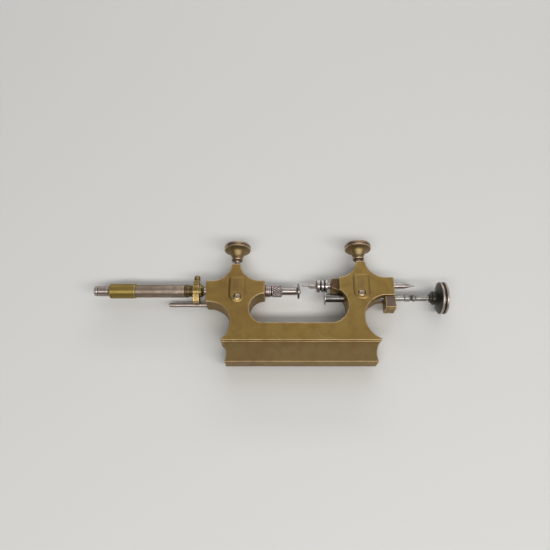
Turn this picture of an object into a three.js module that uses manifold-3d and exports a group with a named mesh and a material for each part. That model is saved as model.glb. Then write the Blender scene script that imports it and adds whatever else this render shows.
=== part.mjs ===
// A watchmaker's pivot tool, lying on its back: a one-piece brass frame with two clamp heads,
// a sliding lantern spindle on the left, and a dead centre with a driven ferrule on the right.
import * as THREE from 'three'
import { mergeVertices } from 'three/addons/utils/BufferGeometryUtils.js'
import Module from 'manifold-3d'

const wasm = await Module()
wasm.setup()

// ---------------------------------------------------------------- driving dimensions (mm)
// Tool coordinates: X along the spindles, Y from the tenon up to the thumbscrews, and Z out of
// the front face, which lies at z = 0. A depth is counted backwards from the front face.
const GAP = 0.35
const THICKNESS = 15
const AXIS_DEPTH = THICKNESS / 2

const TENON = { half: 46.5, shoulder: 48.4, waist: 43.75, waistY: 6.4, top: 12.8, inset: 1.8 }
const LEDGE_HALF = 49.5
const BAR_TOP = 24.4
const LEFT_HEAD = {
  x: -40.9, outerEnd: -59.8, innerEnd: -22.4, earTop: 52.3, stemTop: 64.1,
  outerBottom: 37.9, outerArc: { x: -57.5, r: 13.5 }, innerBottom: 43.4, innerArc: { x: -22.4, r: 9.7 },
}
const RIGHT_HEAD = {
  x: 39.2, outerEnd: 59.5, innerEnd: 20.05, earTop: 54.8, stemTop: 66.2,
  outerBottom: 42.4, outerArc: { x: 54.4, r: 14.6 }, innerBottom: 48.3, innerArc: { x: 17.6, r: 12.1 },
}
const UPPER_ARC = { offset: 15.2, r: 12.4 }
const STEP = { end: 24.6, depth: 2.2 }

// Heights of the three axes that run along X, and the guide rod below them.
const SPINDLE_Y = 48
const TURNING_Y = 51.7
const DRIVE_Y = 43.2
const ROD = { y: 40.2, depth: 12.2, r: 1.4, left: -84.2, right: -48.6 }

// The lantern spindle and its handle, from the right end to the left end of the tool.
const SPINDLE = { left: -81.5, right: -1.8, r: 2.6 }
const LANTERN = { left: -1.5, right: -0.3, r: 4.925, holes: 8, smallestHole: 0.3, holeGrowth: 0.05 }
const LANTERN_SCREW = { tip: -5.5, seat: 0, top: 0.6, shankR: 0.7, headR: 1.6 }
const COLLAR = { left: -22.05, right: -11.4, r: 3.95, spigotR: 3.35, spigotLeft: -26, groove: -18.65 }
const ARM = { left: -68.4, right: -64.5, top: 54, bottom: 39.6, bossR: 5 }
const ARM_SCREW = { x: (ARM.left + ARM.right) / 2, shankR: 1.15, headR: 1.95, top: 58.5 }
const ARM_HUB = { left: -64.15, right: -61.4, r: 4.2, noseR: 3.05 }
const ARM_FERRULE = { left: -73.6, right: -68.75, r: 4.2, neckLeft: -70.9, neckR: 3.8, endR: 3.6 }
const TUBE = { left: -105.15, right: -73.95, r: 4.15, tenonR: 2.3, tenonEnd: -119 }
const SLEEVE = { left: -122.4, right: -105.5, r: 4.7, chamfer: 0.7 }
const END = {
  ringLeft: -131.9, ringRight: -129.8, spigotLeft: -131.6, spigotR: 1.6,
  capLeft: -129.45, capRight: -122.75, plugRight: -119.6, r: 3.3,
}

// The dead centre, its bush, and the ferrule that turns on the bush.
const BUSH = { left: 10.2, right: 24.2, r: 1.75, bore: 1.4, beadLeft: 18.1, beadRight: 19.7, beadR: 2.3 }
const RUNNER = {
  tip: 1.4, thinR: 0.6, thinEnd: 5.3, midR: 1.05, shoulder: 24.9, r: 2, coneStart: 67, end: 74.6,
}
const FERRULE = {
  left: 10.6, right: 17.6, r: 4.45, bore: 2.1, neckR: 3, grooveR: 3.5, grooveLeft: 15.15, grooveRight: 16.45,
}
const DRIVER_PIN = { left: 6.2, right: 12, r: 0.45, y: -2.3, z: 2.2 }
const CATCH = { length: 1.75, r: 0.35, drop: 3.55, lean: 0.6 }

// The drive shaft with its friction disc, its two beads, its bearing block and its wheel.
const DISC = { left: 15.5, right: 16.1, r: 4.6, hubR: 2.7, hubRight: 28 }
const SHAFT = { left: 15.2, shoulder: DISC.hubRight + GAP, right: 82.25, end: 87.7, r: 2, spigotR: 1.2 }
const SHAFT_BEADS = [{ left: 66.7, right: 70.3, r: 2.35 }, { left: 71.6, right: 73.8, r: 2.35 }]
const BLOCK = { left: 53.5, right: 60, bottom: 34.2, front: 1.4, rear: 12.4, bevel: 0.9 }
const BLOCK_SCREW = { x: 56.75, depths: [3.3, 11.1], shankR: 0.6, headR: 0.85, seat: 36, tip: 46 }
const WHEEL = { left: 82.6, hub: 84, rim: 88.5, right: 92.7, r: 10.3 }
const WHEEL_SCREW = { seat: 90.7, shankR: 1, headR: 2.2, top: 92.4 }

const CLAMP = { shankR: 1.75, headTopLeft: 80.3, headTopRight: 81.1, headR: 8.65, shoe: 2 }
const PLATE = { w: 10.6, h: 17.6, corner: 2.6, below: 0.9, proud: 0.9, pocket: 1.25 }
const LEFT_PLATE = { x: -40, bottom: 37.4, screwX: -39.8, screwY: 41.1 }
const RIGHT_PLATE = { x: 38.85, bottom: 39.5, screwX: 38.5, screwY: 43.8 }
const PLATE_SCREW = { headR: 2.35, shankR: 1, headBase: 0, headTop: 1.25, tip: 4.4 }

const ROUND = 20
const FINE = 12
const ARC_STEPS = 10
const QUARTER = Math.PI / 2

// ---------------------------------------------------------------- materials
function metal(color, roughness, metalness = 0.9) {
  return new THREE.MeshStandardMaterial({ color, roughness, metalness })
}
const AGED_BRASS = metal('#80693a', 0.42)
const BRIGHT_BRASS = metal('#a08a45', 0.34)
const WORN_STEEL = metal('#8d8580', 0.4)
const BRIGHT_STEEL = metal('#aaa6a2', 0.28)
const DARK_STEEL = metal('#55514d', 0.35)
const BLACKENED = metal('#22211f', 0.38, 0.6)

// ---------------------------------------------------------------- geometry helpers
// Welds shared corners, drops collapsed triangles and turns the faces outwards.
function welded(geometry) {
  const bare = geometry.clone()
  bare.deleteAttribute('normal')
  bare.deleteAttribute('uv')
  const merged = mergeVertices(bare, 1e-4)
  const source = merged.index.array
  const corners = []
  for (let i = 0; i < source.length; i += 3) {
    const [a, b, c] = [source[i], source[i + 1], source[i + 2]]
    if (a !== b && b !== c && c !== a) corners.push(a, b, c)
  }
  if (signedVolume(merged.attributes.position, corners) < 0) corners.reverse()
  merged.setIndex(corners)
  return merged
}

function signedVolume(position, corners) {
  const [a, b, c] = [new THREE.Vector3(), new THREE.Vector3(), new THREE.Vector3()]
  let volume = 0
  for (let i = 0; i < corners.length; i += 3) {
    a.fromBufferAttribute(position, corners[i])
    b.fromBufferAttribute(position, corners[i + 1])
    c.fromBufferAttribute(position, corners[i + 2])
    volume += a.dot(b.cross(c)) / 6
  }
  return volume
}

function toSolid(geometry) {
  const mesh = welded(geometry)
  return new wasm.Manifold(new wasm.Mesh({
    numProp: 3,
    vertProperties: Float32Array.from(mesh.attributes.position.array),
    triVerts: Uint32Array.from(mesh.index.array),
  }))
}

function toGeometry(solid) {
  const mesh = solid.getMesh()
  const geometry = new THREE.BufferGeometry()
  geometry.setAttribute('position', new THREE.BufferAttribute(mesh.vertProperties, 3))
  geometry.setIndex(new THREE.BufferAttribute(mesh.triVerts, 1))
  return geometry
}

function cut(base, cutters) {
  let solid = toSolid(base)
  for (const cutter of cutters) solid = solid.subtract(toSolid(cutter))
  return toGeometry(solid)
}

function join(pieces) {
  let solid = toSolid(pieces[0])
  for (const piece of pieces.slice(1)) solid = solid.add(toSolid(piece))
  return toGeometry(solid)
}

// A turned piece along X: the profile lists [x, radius] and starts and ends on the axis.
function turnedX(profile, sides = ROUND) {
  const points = profile.map(([x, r]) => new THREE.Vector2(r, x))
  return new THREE.LatheGeometry(points, sides).rotateZ(-QUARTER)
}

// The same along Y: the profile lists [y, radius].
function turnedY(profile, sides = ROUND) {
  const points = profile.map(([y, r]) => new THREE.Vector2(r, y))
  return new THREE.LatheGeometry(points, sides)
}

// A turned piece with a through bore: the outside profile, closed along the bore radius.
function ringX(outside, bore, sides = ROUND) {
  const first = outside[0][0]
  const last = outside[outside.length - 1][0]
  return turnedX([[first, bore], ...outside, [last, bore], [first, bore]], sides)
}

function rodX(left, right, r, sides = ROUND) {
  return turnedX([[left, 0], [left, r], [right, r], [right, 0]], sides)
}

function rodY(bottom, top, r, sides = ROUND) {
  return turnedY([[bottom, 0], [bottom, r], [top, r], [top, 0]], sides)
}

// A rod along Z between two depths below the front face.
function rodZ(front, rear, r, sides = FINE) {
  return rodY(-rear, -front, r, sides).rotateX(QUARTER)
}

// An outline in X and Y, filled between two depths below the front face.
function slabZ(outline, front, rear) {
  const slab = new THREE.ExtrudeGeometry(outline, {
    depth: rear - front, bevelEnabled: false, curveSegments: ARC_STEPS,
  })
  return slab.translate(0, 0, -rear)
}

// An outline in depth and Y, filled between two stations along X.
function slabX(outline, left, right) {
  const slab = new THREE.ExtrudeGeometry(outline, {
    depth: right - left, bevelEnabled: false, curveSegments: ARC_STEPS,
  })
  return slab.rotateY(QUARTER).translate(left, 0, 0)
}

function boxAt(left, right, bottom, top, front, rear) {
  const box = new THREE.BoxGeometry(right - left, top - bottom, rear - front)
  return box.translate((left + right) / 2, (bottom + top) / 2, -(front + rear) / 2)
}

// ---------------------------------------------------------------- frame
// The side of a poppet above its ears: a hollow arc up to the stem, across it and down again.
function addUpperArcs(outline, head) {
  const arcY = head.earTop + UPPER_ARC.r
  const rise = Math.asin((head.stemTop - arcY) / UPPER_ARC.r)
  outline.absarc(head.x - UPPER_ARC.offset, arcY, UPPER_ARC.r, -QUARTER, rise, false)
  outline.absarc(head.x + UPPER_ARC.offset, arcY, UPPER_ARC.r, Math.PI - rise, 3 * QUARTER, false)
}

// Angle on a circle at which it crosses a height, on the side given by sign.
function angleAtHeight(centreY, r, y, sign) {
  return Math.atan2(y - centreY, sign * Math.sqrt(r * r - (y - centreY) ** 2))
}

function angleAtX(centreX, r, x, sign) {
  return Math.atan2(sign * Math.sqrt(r * r - (x - centreX) ** 2), x - centreX)
}

function frameOutline() {
  const outline = new THREE.Shape()
  const [left, right] = [LEFT_HEAD, RIGHT_HEAD]
  const earRound = 1.2
  const leftOuterY = left.outerBottom - left.outerArc.r
  const leftInnerY = left.innerBottom - left.innerArc.r
  const rightInnerY = right.innerBottom - right.innerArc.r
  const rightOuterY = right.outerBottom - right.outerArc.r
  const leftTip = angleAtX(left.outerArc.x, left.outerArc.r, -LEDGE_HALF, -1)
  const rightTip = angleAtX(right.outerArc.x, right.outerArc.r, LEDGE_HALF, -1) + 2 * Math.PI
  const leftFoot = angleAtHeight(leftInnerY, left.innerArc.r, BAR_TOP, -1) + 2 * Math.PI
  const rightFoot = angleAtHeight(rightInnerY, right.innerArc.r, BAR_TOP, 1)
  const rightEar = angleAtX(right.innerArc.x, right.innerArc.r, right.innerEnd, 1)

  outline.moveTo(-TENON.shoulder, TENON.top)
  outline.absarc(left.outerArc.x, leftOuterY, left.outerArc.r, leftTip, QUARTER, false)
  outline.absarc(left.outerEnd + earRound, left.outerBottom + earRound, earRound, -QUARTER, -Math.PI, true)
  outline.lineTo(left.outerEnd, left.earTop)
  addUpperArcs(outline, left)
  outline.lineTo(left.innerEnd, left.earTop)
  outline.absarc(left.innerArc.x, leftInnerY, left.innerArc.r, QUARTER, leftFoot, false)
  outline.absarc(right.innerArc.x, rightInnerY, right.innerArc.r, rightFoot, rightEar, false)
  outline.lineTo(right.innerEnd, right.earTop)
  addUpperArcs(outline, right)
  outline.lineTo(right.outerEnd, right.earTop)
  outline.lineTo(right.outerEnd, right.outerBottom)
  outline.absarc(right.outerArc.x, rightOuterY, right.outerArc.r, QUARTER, rightTip, false)
  outline.lineTo(TENON.shoulder, TENON.top)
  return outline
}

// The tenon under the ledge, which a bench vice grips: thinner than the frame, with hollow ends.
function tenonOutline() {
  const insideLedge = TENON.top + 1
  const outline = new THREE.Shape()
  outline.moveTo(-TENON.half, 0)
  outline.lineTo(TENON.half, 0)
  outline.quadraticCurveTo(TENON.waist, TENON.waistY, TENON.shoulder, TENON.top)
  outline.lineTo(TENON.shoulder, insideLedge)
  outline.lineTo(-TENON.shoulder, insideLedge)
  outline.lineTo(-TENON.shoulder, TENON.top)
  outline.quadraticCurveTo(-TENON.waist, TENON.waistY, -TENON.half, 0)
  return outline
}

// A plate with rounded top corners and a half-round foot, grown outwards by a margin.
function plateOutline(place, margin) {
  const half = PLATE.w / 2 + margin
  const corner = PLATE.corner + margin
  const top = place.bottom + PLATE.h + margin
  const footY = place.bottom + PLATE.w / 2
  const outline = new THREE.Shape()
  outline.moveTo(place.x + half, footY)
  outline.absarc(place.x + half - corner, top - corner, corner, 0, QUARTER, false)
  outline.absarc(place.x - half + corner, top - corner, corner, QUARTER, Math.PI, false)
  outline.absarc(place.x, footY, half, Math.PI, 2 * Math.PI, false)
  return outline
}

function frame() {
  const past = 1
  const boreX = (y, left, right, r) => rodX(left, right, r).translate(0, y, -AXIS_DEPTH)
  const boreY = (head, bottom) => {
    const bore = rodY(bottom, head.stemTop + past, CLAMP.shankR + GAP)
    return bore.translate(head.x, 0, -AXIS_DEPTH)
  }
  const rodHole = rodX(LEFT_HEAD.outerEnd - past, ROD.right + GAP, ROD.r + GAP)
  const screwHole = (plate) => {
    const hole = rodZ(0, PLATE_SCREW.tip + GAP, PLATE_SCREW.shankR + GAP)
    return hole.translate(plate.screwX, plate.screwY, 0)
  }
  const blockScrewHole = (depth) => {
    const hole = rodY(RIGHT_HEAD.outerBottom - past, BLOCK_SCREW.tip + GAP, BLOCK_SCREW.shankR + GAP, FINE)
    return hole.translate(BLOCK_SCREW.x, 0, -depth)
  }
  const inner = RIGHT_HEAD.innerEnd - past
  const body = join([
    slabZ(frameOutline(), 0, THICKNESS),
    slabZ(tenonOutline(), TENON.inset, THICKNESS - TENON.inset),
  ])
  return cut(body, [
    boreX(SPINDLE_Y, LEFT_HEAD.outerEnd - past, LEFT_HEAD.innerEnd + past, SPINDLE.r + GAP),
    boreX(SPINDLE_Y, COLLAR.spigotLeft - GAP, LEFT_HEAD.innerEnd + past, COLLAR.spigotR + GAP),
    rodHole.translate(0, ROD.y, -ROD.depth),
    boreX(TURNING_Y, inner, RIGHT_HEAD.outerEnd + past, BUSH.r + GAP),
    boreX(TURNING_Y, BUSH.right + GAP, RIGHT_HEAD.outerEnd + past, RUNNER.r + GAP),
    boreX(DRIVE_Y, inner, DISC.hubRight + GAP, DISC.hubR + GAP),
    boreX(DRIVE_Y, DISC.hubRight, RIGHT_HEAD.outerEnd + past, SHAFT.r + GAP),
    boreY(LEFT_HEAD, SPINDLE_Y),
    boreY(RIGHT_HEAD, TURNING_Y),
    boxAt(inner, STEP.end, RIGHT_HEAD.innerBottom - 3, RIGHT_HEAD.earTop + past, -past, STEP.depth),
    boxAt(inner, STEP.end, RIGHT_HEAD.innerBottom - 3, RIGHT_HEAD.earTop + past,
      THICKNESS - STEP.depth, THICKNESS + past),
    slabZ(plateOutline(LEFT_PLATE, GAP), -past, PLATE.pocket),
    slabZ(plateOutline(RIGHT_PLATE, GAP), -past, PLATE.pocket),
    screwHole(LEFT_PLATE),
    screwHole(RIGHT_PLATE),
    ...BLOCK_SCREW.depths.map(blockScrewHole),
  ])
}

// ---------------------------------------------------------------- cover plates and their screws
function frontPlate(place) {
  const headHole = rodZ(-PLATE.proud - 1, -PLATE_SCREW.headBase + GAP, PLATE_SCREW.headR + GAP, ROUND)
  const shankHole = rodZ(-PLATE.proud - 1, PLATE.below + 1, PLATE_SCREW.shankR + GAP)
  return cut(slabZ(plateOutline(place, 0), -PLATE.proud, PLATE.below), [
    headHole.translate(place.screwX, place.screwY, 0),
    shankHole.translate(place.screwX, place.screwY, 0),
  ])
}

// A domed slotted screw along Z, its head top towards the viewer of the front face.
function plateScrew() {
  const slot = { width: 0.6, depth: 0.5 }
  const blank = turnedY([
    [-PLATE_SCREW.tip, 0], [-PLATE_SCREW.tip, PLATE_SCREW.shankR],
    [PLATE_SCREW.headBase, PLATE_SCREW.shankR], [PLATE_SCREW.headBase, PLATE_SCREW.headR],
    [PLATE_SCREW.headTop - 0.6, PLATE_SCREW.headR], [PLATE_SCREW.headTop - 0.2, PLATE_SCREW.headR - 0.7],
    [PLATE_SCREW.headTop, 0],
  ], FINE)
  const reach = PLATE_SCREW.headR + 1
  const groove = boxAt(-reach, reach, PLATE_SCREW.headTop - slot.depth, PLATE_SCREW.headTop + 1,
    -slot.width / 2, slot.width / 2)
  return cut(blank, [groove]).rotateX(QUARTER)
}

// ---------------------------------------------------------------- clamps
// The thumbscrew: shank, bead, neck, flared bowl and a twin-rimmed head.
function clampScrew(tip, top) {
  const r = CLAMP.headR
  return turnedY([
    [tip, 0], [tip, CLAMP.shankR - 0.4], [tip + 0.4, CLAMP.shankR], [top - 11.2, CLAMP.shankR],
    [top - 10.9, 3.1], [top - 9.9, 3.85], [top - 8.9, 3.3], [top - 8, 3.7],
    [top - 6.6, 4.6], [top - 5, 5.3], [top - 4.2, 6.6], [top - 3.5, 8.2], [top - 3.2, r], [top - 2.3, r],
    [top - 2.1, r - 1], [top - 1.3, r - 1], [top - 1.1, r], [top - 0.3, r],
    [top, r - 0.5], [top - 0.5, 5.5], [top - 0.6, 0],
  ])
}

function clampShoe(bottom) {
  return rodY(bottom, bottom + CLAMP.shoe, CLAMP.shankR, FINE)
}

// ---------------------------------------------------------------- lantern spindle, on the left
function spindleRod() {
  return turnedX([
    [SPINDLE.left, 0], [SPINDLE.left, SPINDLE.r], [SPINDLE.right - 0.3, SPINDLE.r],
    [SPINDLE.right, SPINDLE.r - 0.3], [SPINDLE.right, LANTERN_SCREW.shankR + GAP],
    [LANTERN_SCREW.tip - GAP, LANTERN_SCREW.shankR + GAP], [LANTERN_SCREW.tip - GAP, 0],
  ])
}

function spindleTube() {
  const socket = SPINDLE.left - GAP
  return turnedX([
    [TUBE.tenonEnd, 0], [TUBE.tenonEnd, TUBE.tenonR], [TUBE.left, TUBE.tenonR],
    [TUBE.left, TUBE.r - 0.2], [TUBE.left + 0.2, TUBE.r], [TUBE.right - 0.3, TUBE.r],
    [TUBE.right, TUBE.r - 0.3], [TUBE.right, SPINDLE.r + GAP], [socket, SPINDLE.r + GAP], [socket, 0],
  ])
}

function spindleSleeve() {
  return ringX([
    [SLEEVE.left, SLEEVE.r - SLEEVE.chamfer], [SLEEVE.left + SLEEVE.chamfer, SLEEVE.r],
    [SLEEVE.right - 0.3, SLEEVE.r], [SLEEVE.right, SLEEVE.r - 0.3],
  ], TUBE.tenonR + GAP)
}

function endCap() {
  return turnedX([
    [END.spigotLeft, 0], [END.spigotLeft, END.spigotR], [END.capLeft, END.spigotR],
    [END.capLeft, END.r - 0.3], [END.capLeft + 0.3, END.r], [END.capRight - 0.5, END.r],
    [END.capRight, END.r - 0.3], [END.capRight, TUBE.tenonR], [END.plugRight, TUBE.tenonR],
    [END.plugRight, 0],
  ])
}

function endRing() {
  return ringX([
    [END.ringLeft, END.r - 0.5], [END.ringLeft + 0.5, END.r], [END.ringRight, END.r],
  ], END.spigotR + GAP)
}

function spindleFerrule() {
  const { left, right, r, neckLeft, neckR, endR } = ARM_FERRULE
  return ringX([[left, r], [neckLeft - 0.5, r], [neckLeft, neckR], [right, endR]], SPINDLE.r + GAP)
}

function armHub() {
  const { left, right, r, noseR } = ARM_HUB
  return ringX([
    [left, r], [left + 0.95, r - 0.05], [right - 0.8, r - 0.5], [right, noseR],
  ], SPINDLE.r + GAP)
}

// The guide arm: a bar with a round boss, its lower end forked over the guide rod.
function guideArm() {
  const bar = { front: 4, rear: 11 }
  const prong = { front: 6.2, rear: 14.7 }
  const slotR = ROD.r + GAP
  const slotTop = ROD.y + 0.8
  const outline = new THREE.Shape()
  outline.moveTo(bar.front, ARM.top)
  outline.lineTo(bar.front, SPINDLE_Y - 4)
  outline.lineTo(prong.front, ROD.y + 0.6)
  outline.lineTo(prong.front, ARM.bottom)
  outline.lineTo(ROD.depth - slotR, ARM.bottom)
  outline.absarc(ROD.depth, slotTop, slotR, Math.PI, 0, true)
  outline.lineTo(ROD.depth + slotR, ARM.bottom)
  outline.lineTo(prong.rear, ARM.bottom)
  outline.lineTo(prong.rear, ROD.y + 2.6)
  outline.lineTo(bar.rear, SPINDLE_Y - 2)
  outline.lineTo(bar.rear, ARM.top)
  const boss = rodX(ARM.left, ARM.right, ARM.bossR).translate(0, SPINDLE_Y, -AXIS_DEPTH)
  const bore = rodX(ARM.left - 1, ARM.right + 1, SPINDLE.r + GAP)
  const screwHole = rodY(SPINDLE_Y, ARM.top + 1, ARM_SCREW.shankR + GAP, FINE)
  return cut(join([slabX(outline, ARM.left, ARM.right), boss]), [
    bore.translate(0, SPINDLE_Y, -AXIS_DEPTH),
    screwHole.translate(ARM_SCREW.x, 0, -AXIS_DEPTH),
  ])
}

function armClampScrew() {
  const tip = SPINDLE_Y + SPINDLE.r + GAP
  const head = ARM.top + GAP
  const slot = { width: 0.6, depth: 0.7 }
  const blank = turnedY([
    [tip, 0], [tip, ARM_SCREW.shankR], [head, ARM_SCREW.shankR], [head, ARM_SCREW.headR - 0.3],
    [head + 0.3, ARM_SCREW.headR], [ARM_SCREW.top - 0.4, ARM_SCREW.headR],
    [ARM_SCREW.top, ARM_SCREW.headR - 0.4], [ARM_SCREW.top, 0],
  ], FINE)
  const groove = boxAt(-3, 3, ARM_SCREW.top - slot.depth, ARM_SCREW.top + 1, -slot.width / 2, slot.width / 2)
  return cut(blank, [groove])
}

// The knurled nut on the inner ear, with the thin spigot that closes on the spindle.
function chuckCollar() {
  const { spigotLeft, spigotR, left, groove, right, r } = COLLAR
  const nick = 0.35
  return ringX([
    [spigotLeft, spigotR], [left, spigotR], [left, r - 0.25], [left + 0.25, r],
    [groove, r], [groove + 0.15, r - nick], [groove + 0.65, r - nick], [groove + 0.8, r],
    [right - nick, r], [right, r - nick],
  ], SPINDLE.r + GAP)
}

// The lantern disc: a ring of pivot holes of growing size, which pass the turning axis in turn.
function lanternDisc() {
  const holeCircle = TURNING_Y - SPINDLE_Y
  const disc = ringX([
    [LANTERN.left, LANTERN.r - 0.15], [LANTERN.left + 0.15, LANTERN.r], [LANTERN.right - 0.15, LANTERN.r],
    [LANTERN.right, LANTERN.r - 0.15],
  ], LANTERN_SCREW.shankR + GAP)
  const holes = []
  for (let i = 0; i < LANTERN.holes; i++) {
    const angle = (i / LANTERN.holes) * 2 * Math.PI
    const holeR = LANTERN.smallestHole + LANTERN.holeGrowth * i
    const hole = rodX(LANTERN.left - 1, LANTERN.right + 1, holeR, FINE)
    holes.push(hole.translate(0, holeCircle * Math.cos(angle), holeCircle * Math.sin(angle)))
  }
  return cut(disc, holes)
}

function lanternScrew() {
  const { tip, seat, top, shankR, headR } = LANTERN_SCREW
  return turnedX([
    [tip, 0], [tip, shankR], [seat, shankR], [seat, headR], [top - 0.25, headR], [top, headR - 0.4], [top, 0],
  ], FINE)
}

// ---------------------------------------------------------------- centre and ferrule, on the right
function centreRunner() {
  const { tip, thinR, thinEnd, midR, shoulder, r, coneStart, end } = RUNNER
  return turnedX([
    [tip, 0], [tip, 0.2], [tip + 0.9, thinR], [thinEnd, thinR], [thinEnd + 0.2, midR],
    [shoulder, midR], [shoulder, r], [coneStart, r], [end, 0.15], [end, 0],
  ])
}

function runnerBush() {
  const { left, right, r, bore, beadLeft, beadRight, beadR } = BUSH
  return ringX([
    [left, r - 0.15], [left + 0.15, r], [beadLeft, r], [beadLeft + 0.3, beadR],
    [beadRight - 0.3, beadR], [beadRight, r], [right, r],
  ], bore)
}

// The ferrule: a broad bevelled rim, a middle rim and a narrow rim, with the drive groove
// between the last two.
function carrierFerrule() {
  const { left, right, r, bore, neckR, grooveR, grooveLeft, grooveRight } = FERRULE
  const middleR = r - 0.15
  const body = ringX([
    [left, r - 0.55], [left + 0.6, r], [left + 2.1, r], [left + 2.4, neckR], [left + 3.2, neckR],
    [left + 3.5, middleR], [grooveLeft, middleR], [grooveLeft, grooveR], [grooveRight, grooveR],
    [grooveRight, r], [right, r],
  ], bore)
  const socket = rodX(left - 1, DRIVER_PIN.right + GAP, DRIVER_PIN.r + GAP - 0.05, FINE)
  return cut(body, [socket.translate(0, DRIVER_PIN.y, DRIVER_PIN.z)])
}

function driverPin() {
  const { left, right, r } = DRIVER_PIN
  return turnedX([[left, 0], [left + 0.3, r], [right, r], [right, 0]], FINE)
}

// A short catch that leans out from the narrow rim.
function ferruleCatch() {
  const { length, r, drop, lean } = CATCH
  const catchPin = turnedX([[0, 0], [0, r], [length - 0.15, r], [length, 0]], FINE)
  return catchPin.rotateZ(-lean).translate(FERRULE.right + 0.55, -drop, 0)
}

// ---------------------------------------------------------------- drive shaft, wheel and bearing block
function driveDisc() {
  return ringX([
    [DISC.left, DISC.r - 0.1], [DISC.left + 0.1, DISC.r], [DISC.right - 0.1, DISC.r],
    [DISC.right, DISC.r - 0.1], [DISC.right, DISC.hubR], [DISC.hubRight - 0.3, DISC.hubR],
    [DISC.hubRight, DISC.hubR - 0.3],
  ], SHAFT.spigotR + GAP)
}

function driveShaft() {
  const { left, shoulder, right, end, r, spigotR } = SHAFT
  const slope = 0.45
  const beads = SHAFT_BEADS.flatMap((bead) => [
    [bead.left - slope, r], [bead.left, bead.r], [bead.right, bead.r], [bead.right + slope, r],
  ])
  return turnedX([
    [left, 0], [left, spigotR], [shoulder, spigotR], [shoulder, r], ...beads, [right, r],
    [right, spigotR], [end, spigotR], [end, 0],
  ])
}

// The drive wheel: collar, hub, a bowl that opens to two thin rims, and a dished outer face.
function driveWheel() {
  const { left, hub, rim, right, r } = WHEEL
  const bore = SHAFT.spigotR + GAP
  return turnedX([
    [left, bore], [left, 3.2], [hub, 3.3], [hub + 0.1, 4.4], [rim - 2, 4.4], [rim - 1.1, 5.2],
    [rim - 0.1, 7.6], [rim + 0.2, r - 0.3], [rim + 0.5, r], [rim + 1.5, r], [rim + 1.7, r - 1],
    [rim + 2.8, r - 1], [rim + 3, r], [rim + 4, r], [right, r - 0.5], [right - 0.8, r - 1.6],
    [WHEEL_SCREW.seat, 4], [WHEEL_SCREW.seat, bore], [left, bore],
  ])
}

function wheelScrew() {
  const head = WHEEL_SCREW.seat + GAP
  const slot = { width: 0.6, depth: 0.5 }
  const blank = turnedX([
    [SHAFT.end + GAP, 0], [SHAFT.end + GAP, WHEEL_SCREW.shankR], [head, WHEEL_SCREW.shankR],
    [head, WHEEL_SCREW.headR],
    [WHEEL_SCREW.top - 0.4, WHEEL_SCREW.headR], [WHEEL_SCREW.top, WHEEL_SCREW.headR - 0.5],
    [WHEEL_SCREW.top, 0],
  ], FINE)
  const groove = boxAt(WHEEL_SCREW.top - slot.depth, WHEEL_SCREW.top + 1,
    -slot.width / 2, slot.width / 2, -4, 4)
  return cut(blank, [groove])
}

// The bearing block under the right outer ear; the shaft runs between the two.
function bearingBlock() {
  const { left, right, bottom, front, rear, bevel } = BLOCK
  const top = RIGHT_HEAD.outerBottom - GAP
  const outline = new THREE.Shape()
  outline.moveTo(front, top)
  outline.lineTo(front, bottom + bevel)
  outline.lineTo(front + bevel, bottom)
  outline.lineTo(rear - bevel, bottom)
  outline.lineTo(rear, bottom + bevel)
  outline.lineTo(rear, top)
  const shaftBore = rodX(left - 1, right + 1, SHAFT.r + GAP).translate(0, DRIVE_Y, -AXIS_DEPTH)
  const screwHoles = BLOCK_SCREW.depths.flatMap((depth) => [
    rodY(bottom - 1, top + 1, BLOCK_SCREW.shankR + GAP, FINE).translate(BLOCK_SCREW.x, 0, -depth),
    rodY(bottom - 1, BLOCK_SCREW.seat, BLOCK_SCREW.headR + GAP, FINE).translate(BLOCK_SCREW.x, 0, -depth),
  ])
  return cut(slabX(outline, left, right), [shaftBore, ...screwHoles])
}

function blockScrew() {
  const { tip, shankR, headR, seat } = BLOCK_SCREW
  const face = BLOCK.bottom + 0.2
  const under = seat - GAP
  return turnedY([
    [face, 0], [face, headR - 0.15], [face + 0.15, headR], [under, headR], [under, shankR], [tip, shankR],
    [tip, 0],
  ], FINE)
}

// ---------------------------------------------------------------- assembly
const X_MIDDLE = (END.ringLeft + WHEEL.right) / 2
const Y_MIDDLE = CLAMP.headTopRight / 2
const LOWEST_DEPTH = AXIS_DEPTH + WHEEL.r

const tool = new THREE.Group()
tool.position.set(-X_MIDDLE, -Y_MIDDLE, LOWEST_DEPTH)

// Puts a named piece in the tool, its own axis moved to the given place.
function place(name, geometry, material, x = 0, y = 0, z = 0) {
  const mesh = new THREE.Mesh(geometry, material)
  mesh.name = name
  mesh.position.set(x, y, z)
  tool.add(mesh)
}

place('frame', frame(), AGED_BRASS)
place('left_front_plate', frontPlate(LEFT_PLATE), AGED_BRASS)
place('right_front_plate', frontPlate(RIGHT_PLATE), AGED_BRASS)
place('left_plate_screw', plateScrew(), WORN_STEEL, LEFT_PLATE.screwX, LEFT_PLATE.screwY)
place('right_plate_screw', plateScrew(), WORN_STEEL, RIGHT_PLATE.screwX, RIGHT_PLATE.screwY)
place('guide_rod', rodX(ROD.left, ROD.right, ROD.r), WORN_STEEL, 0, ROD.y, -ROD.depth)

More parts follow.
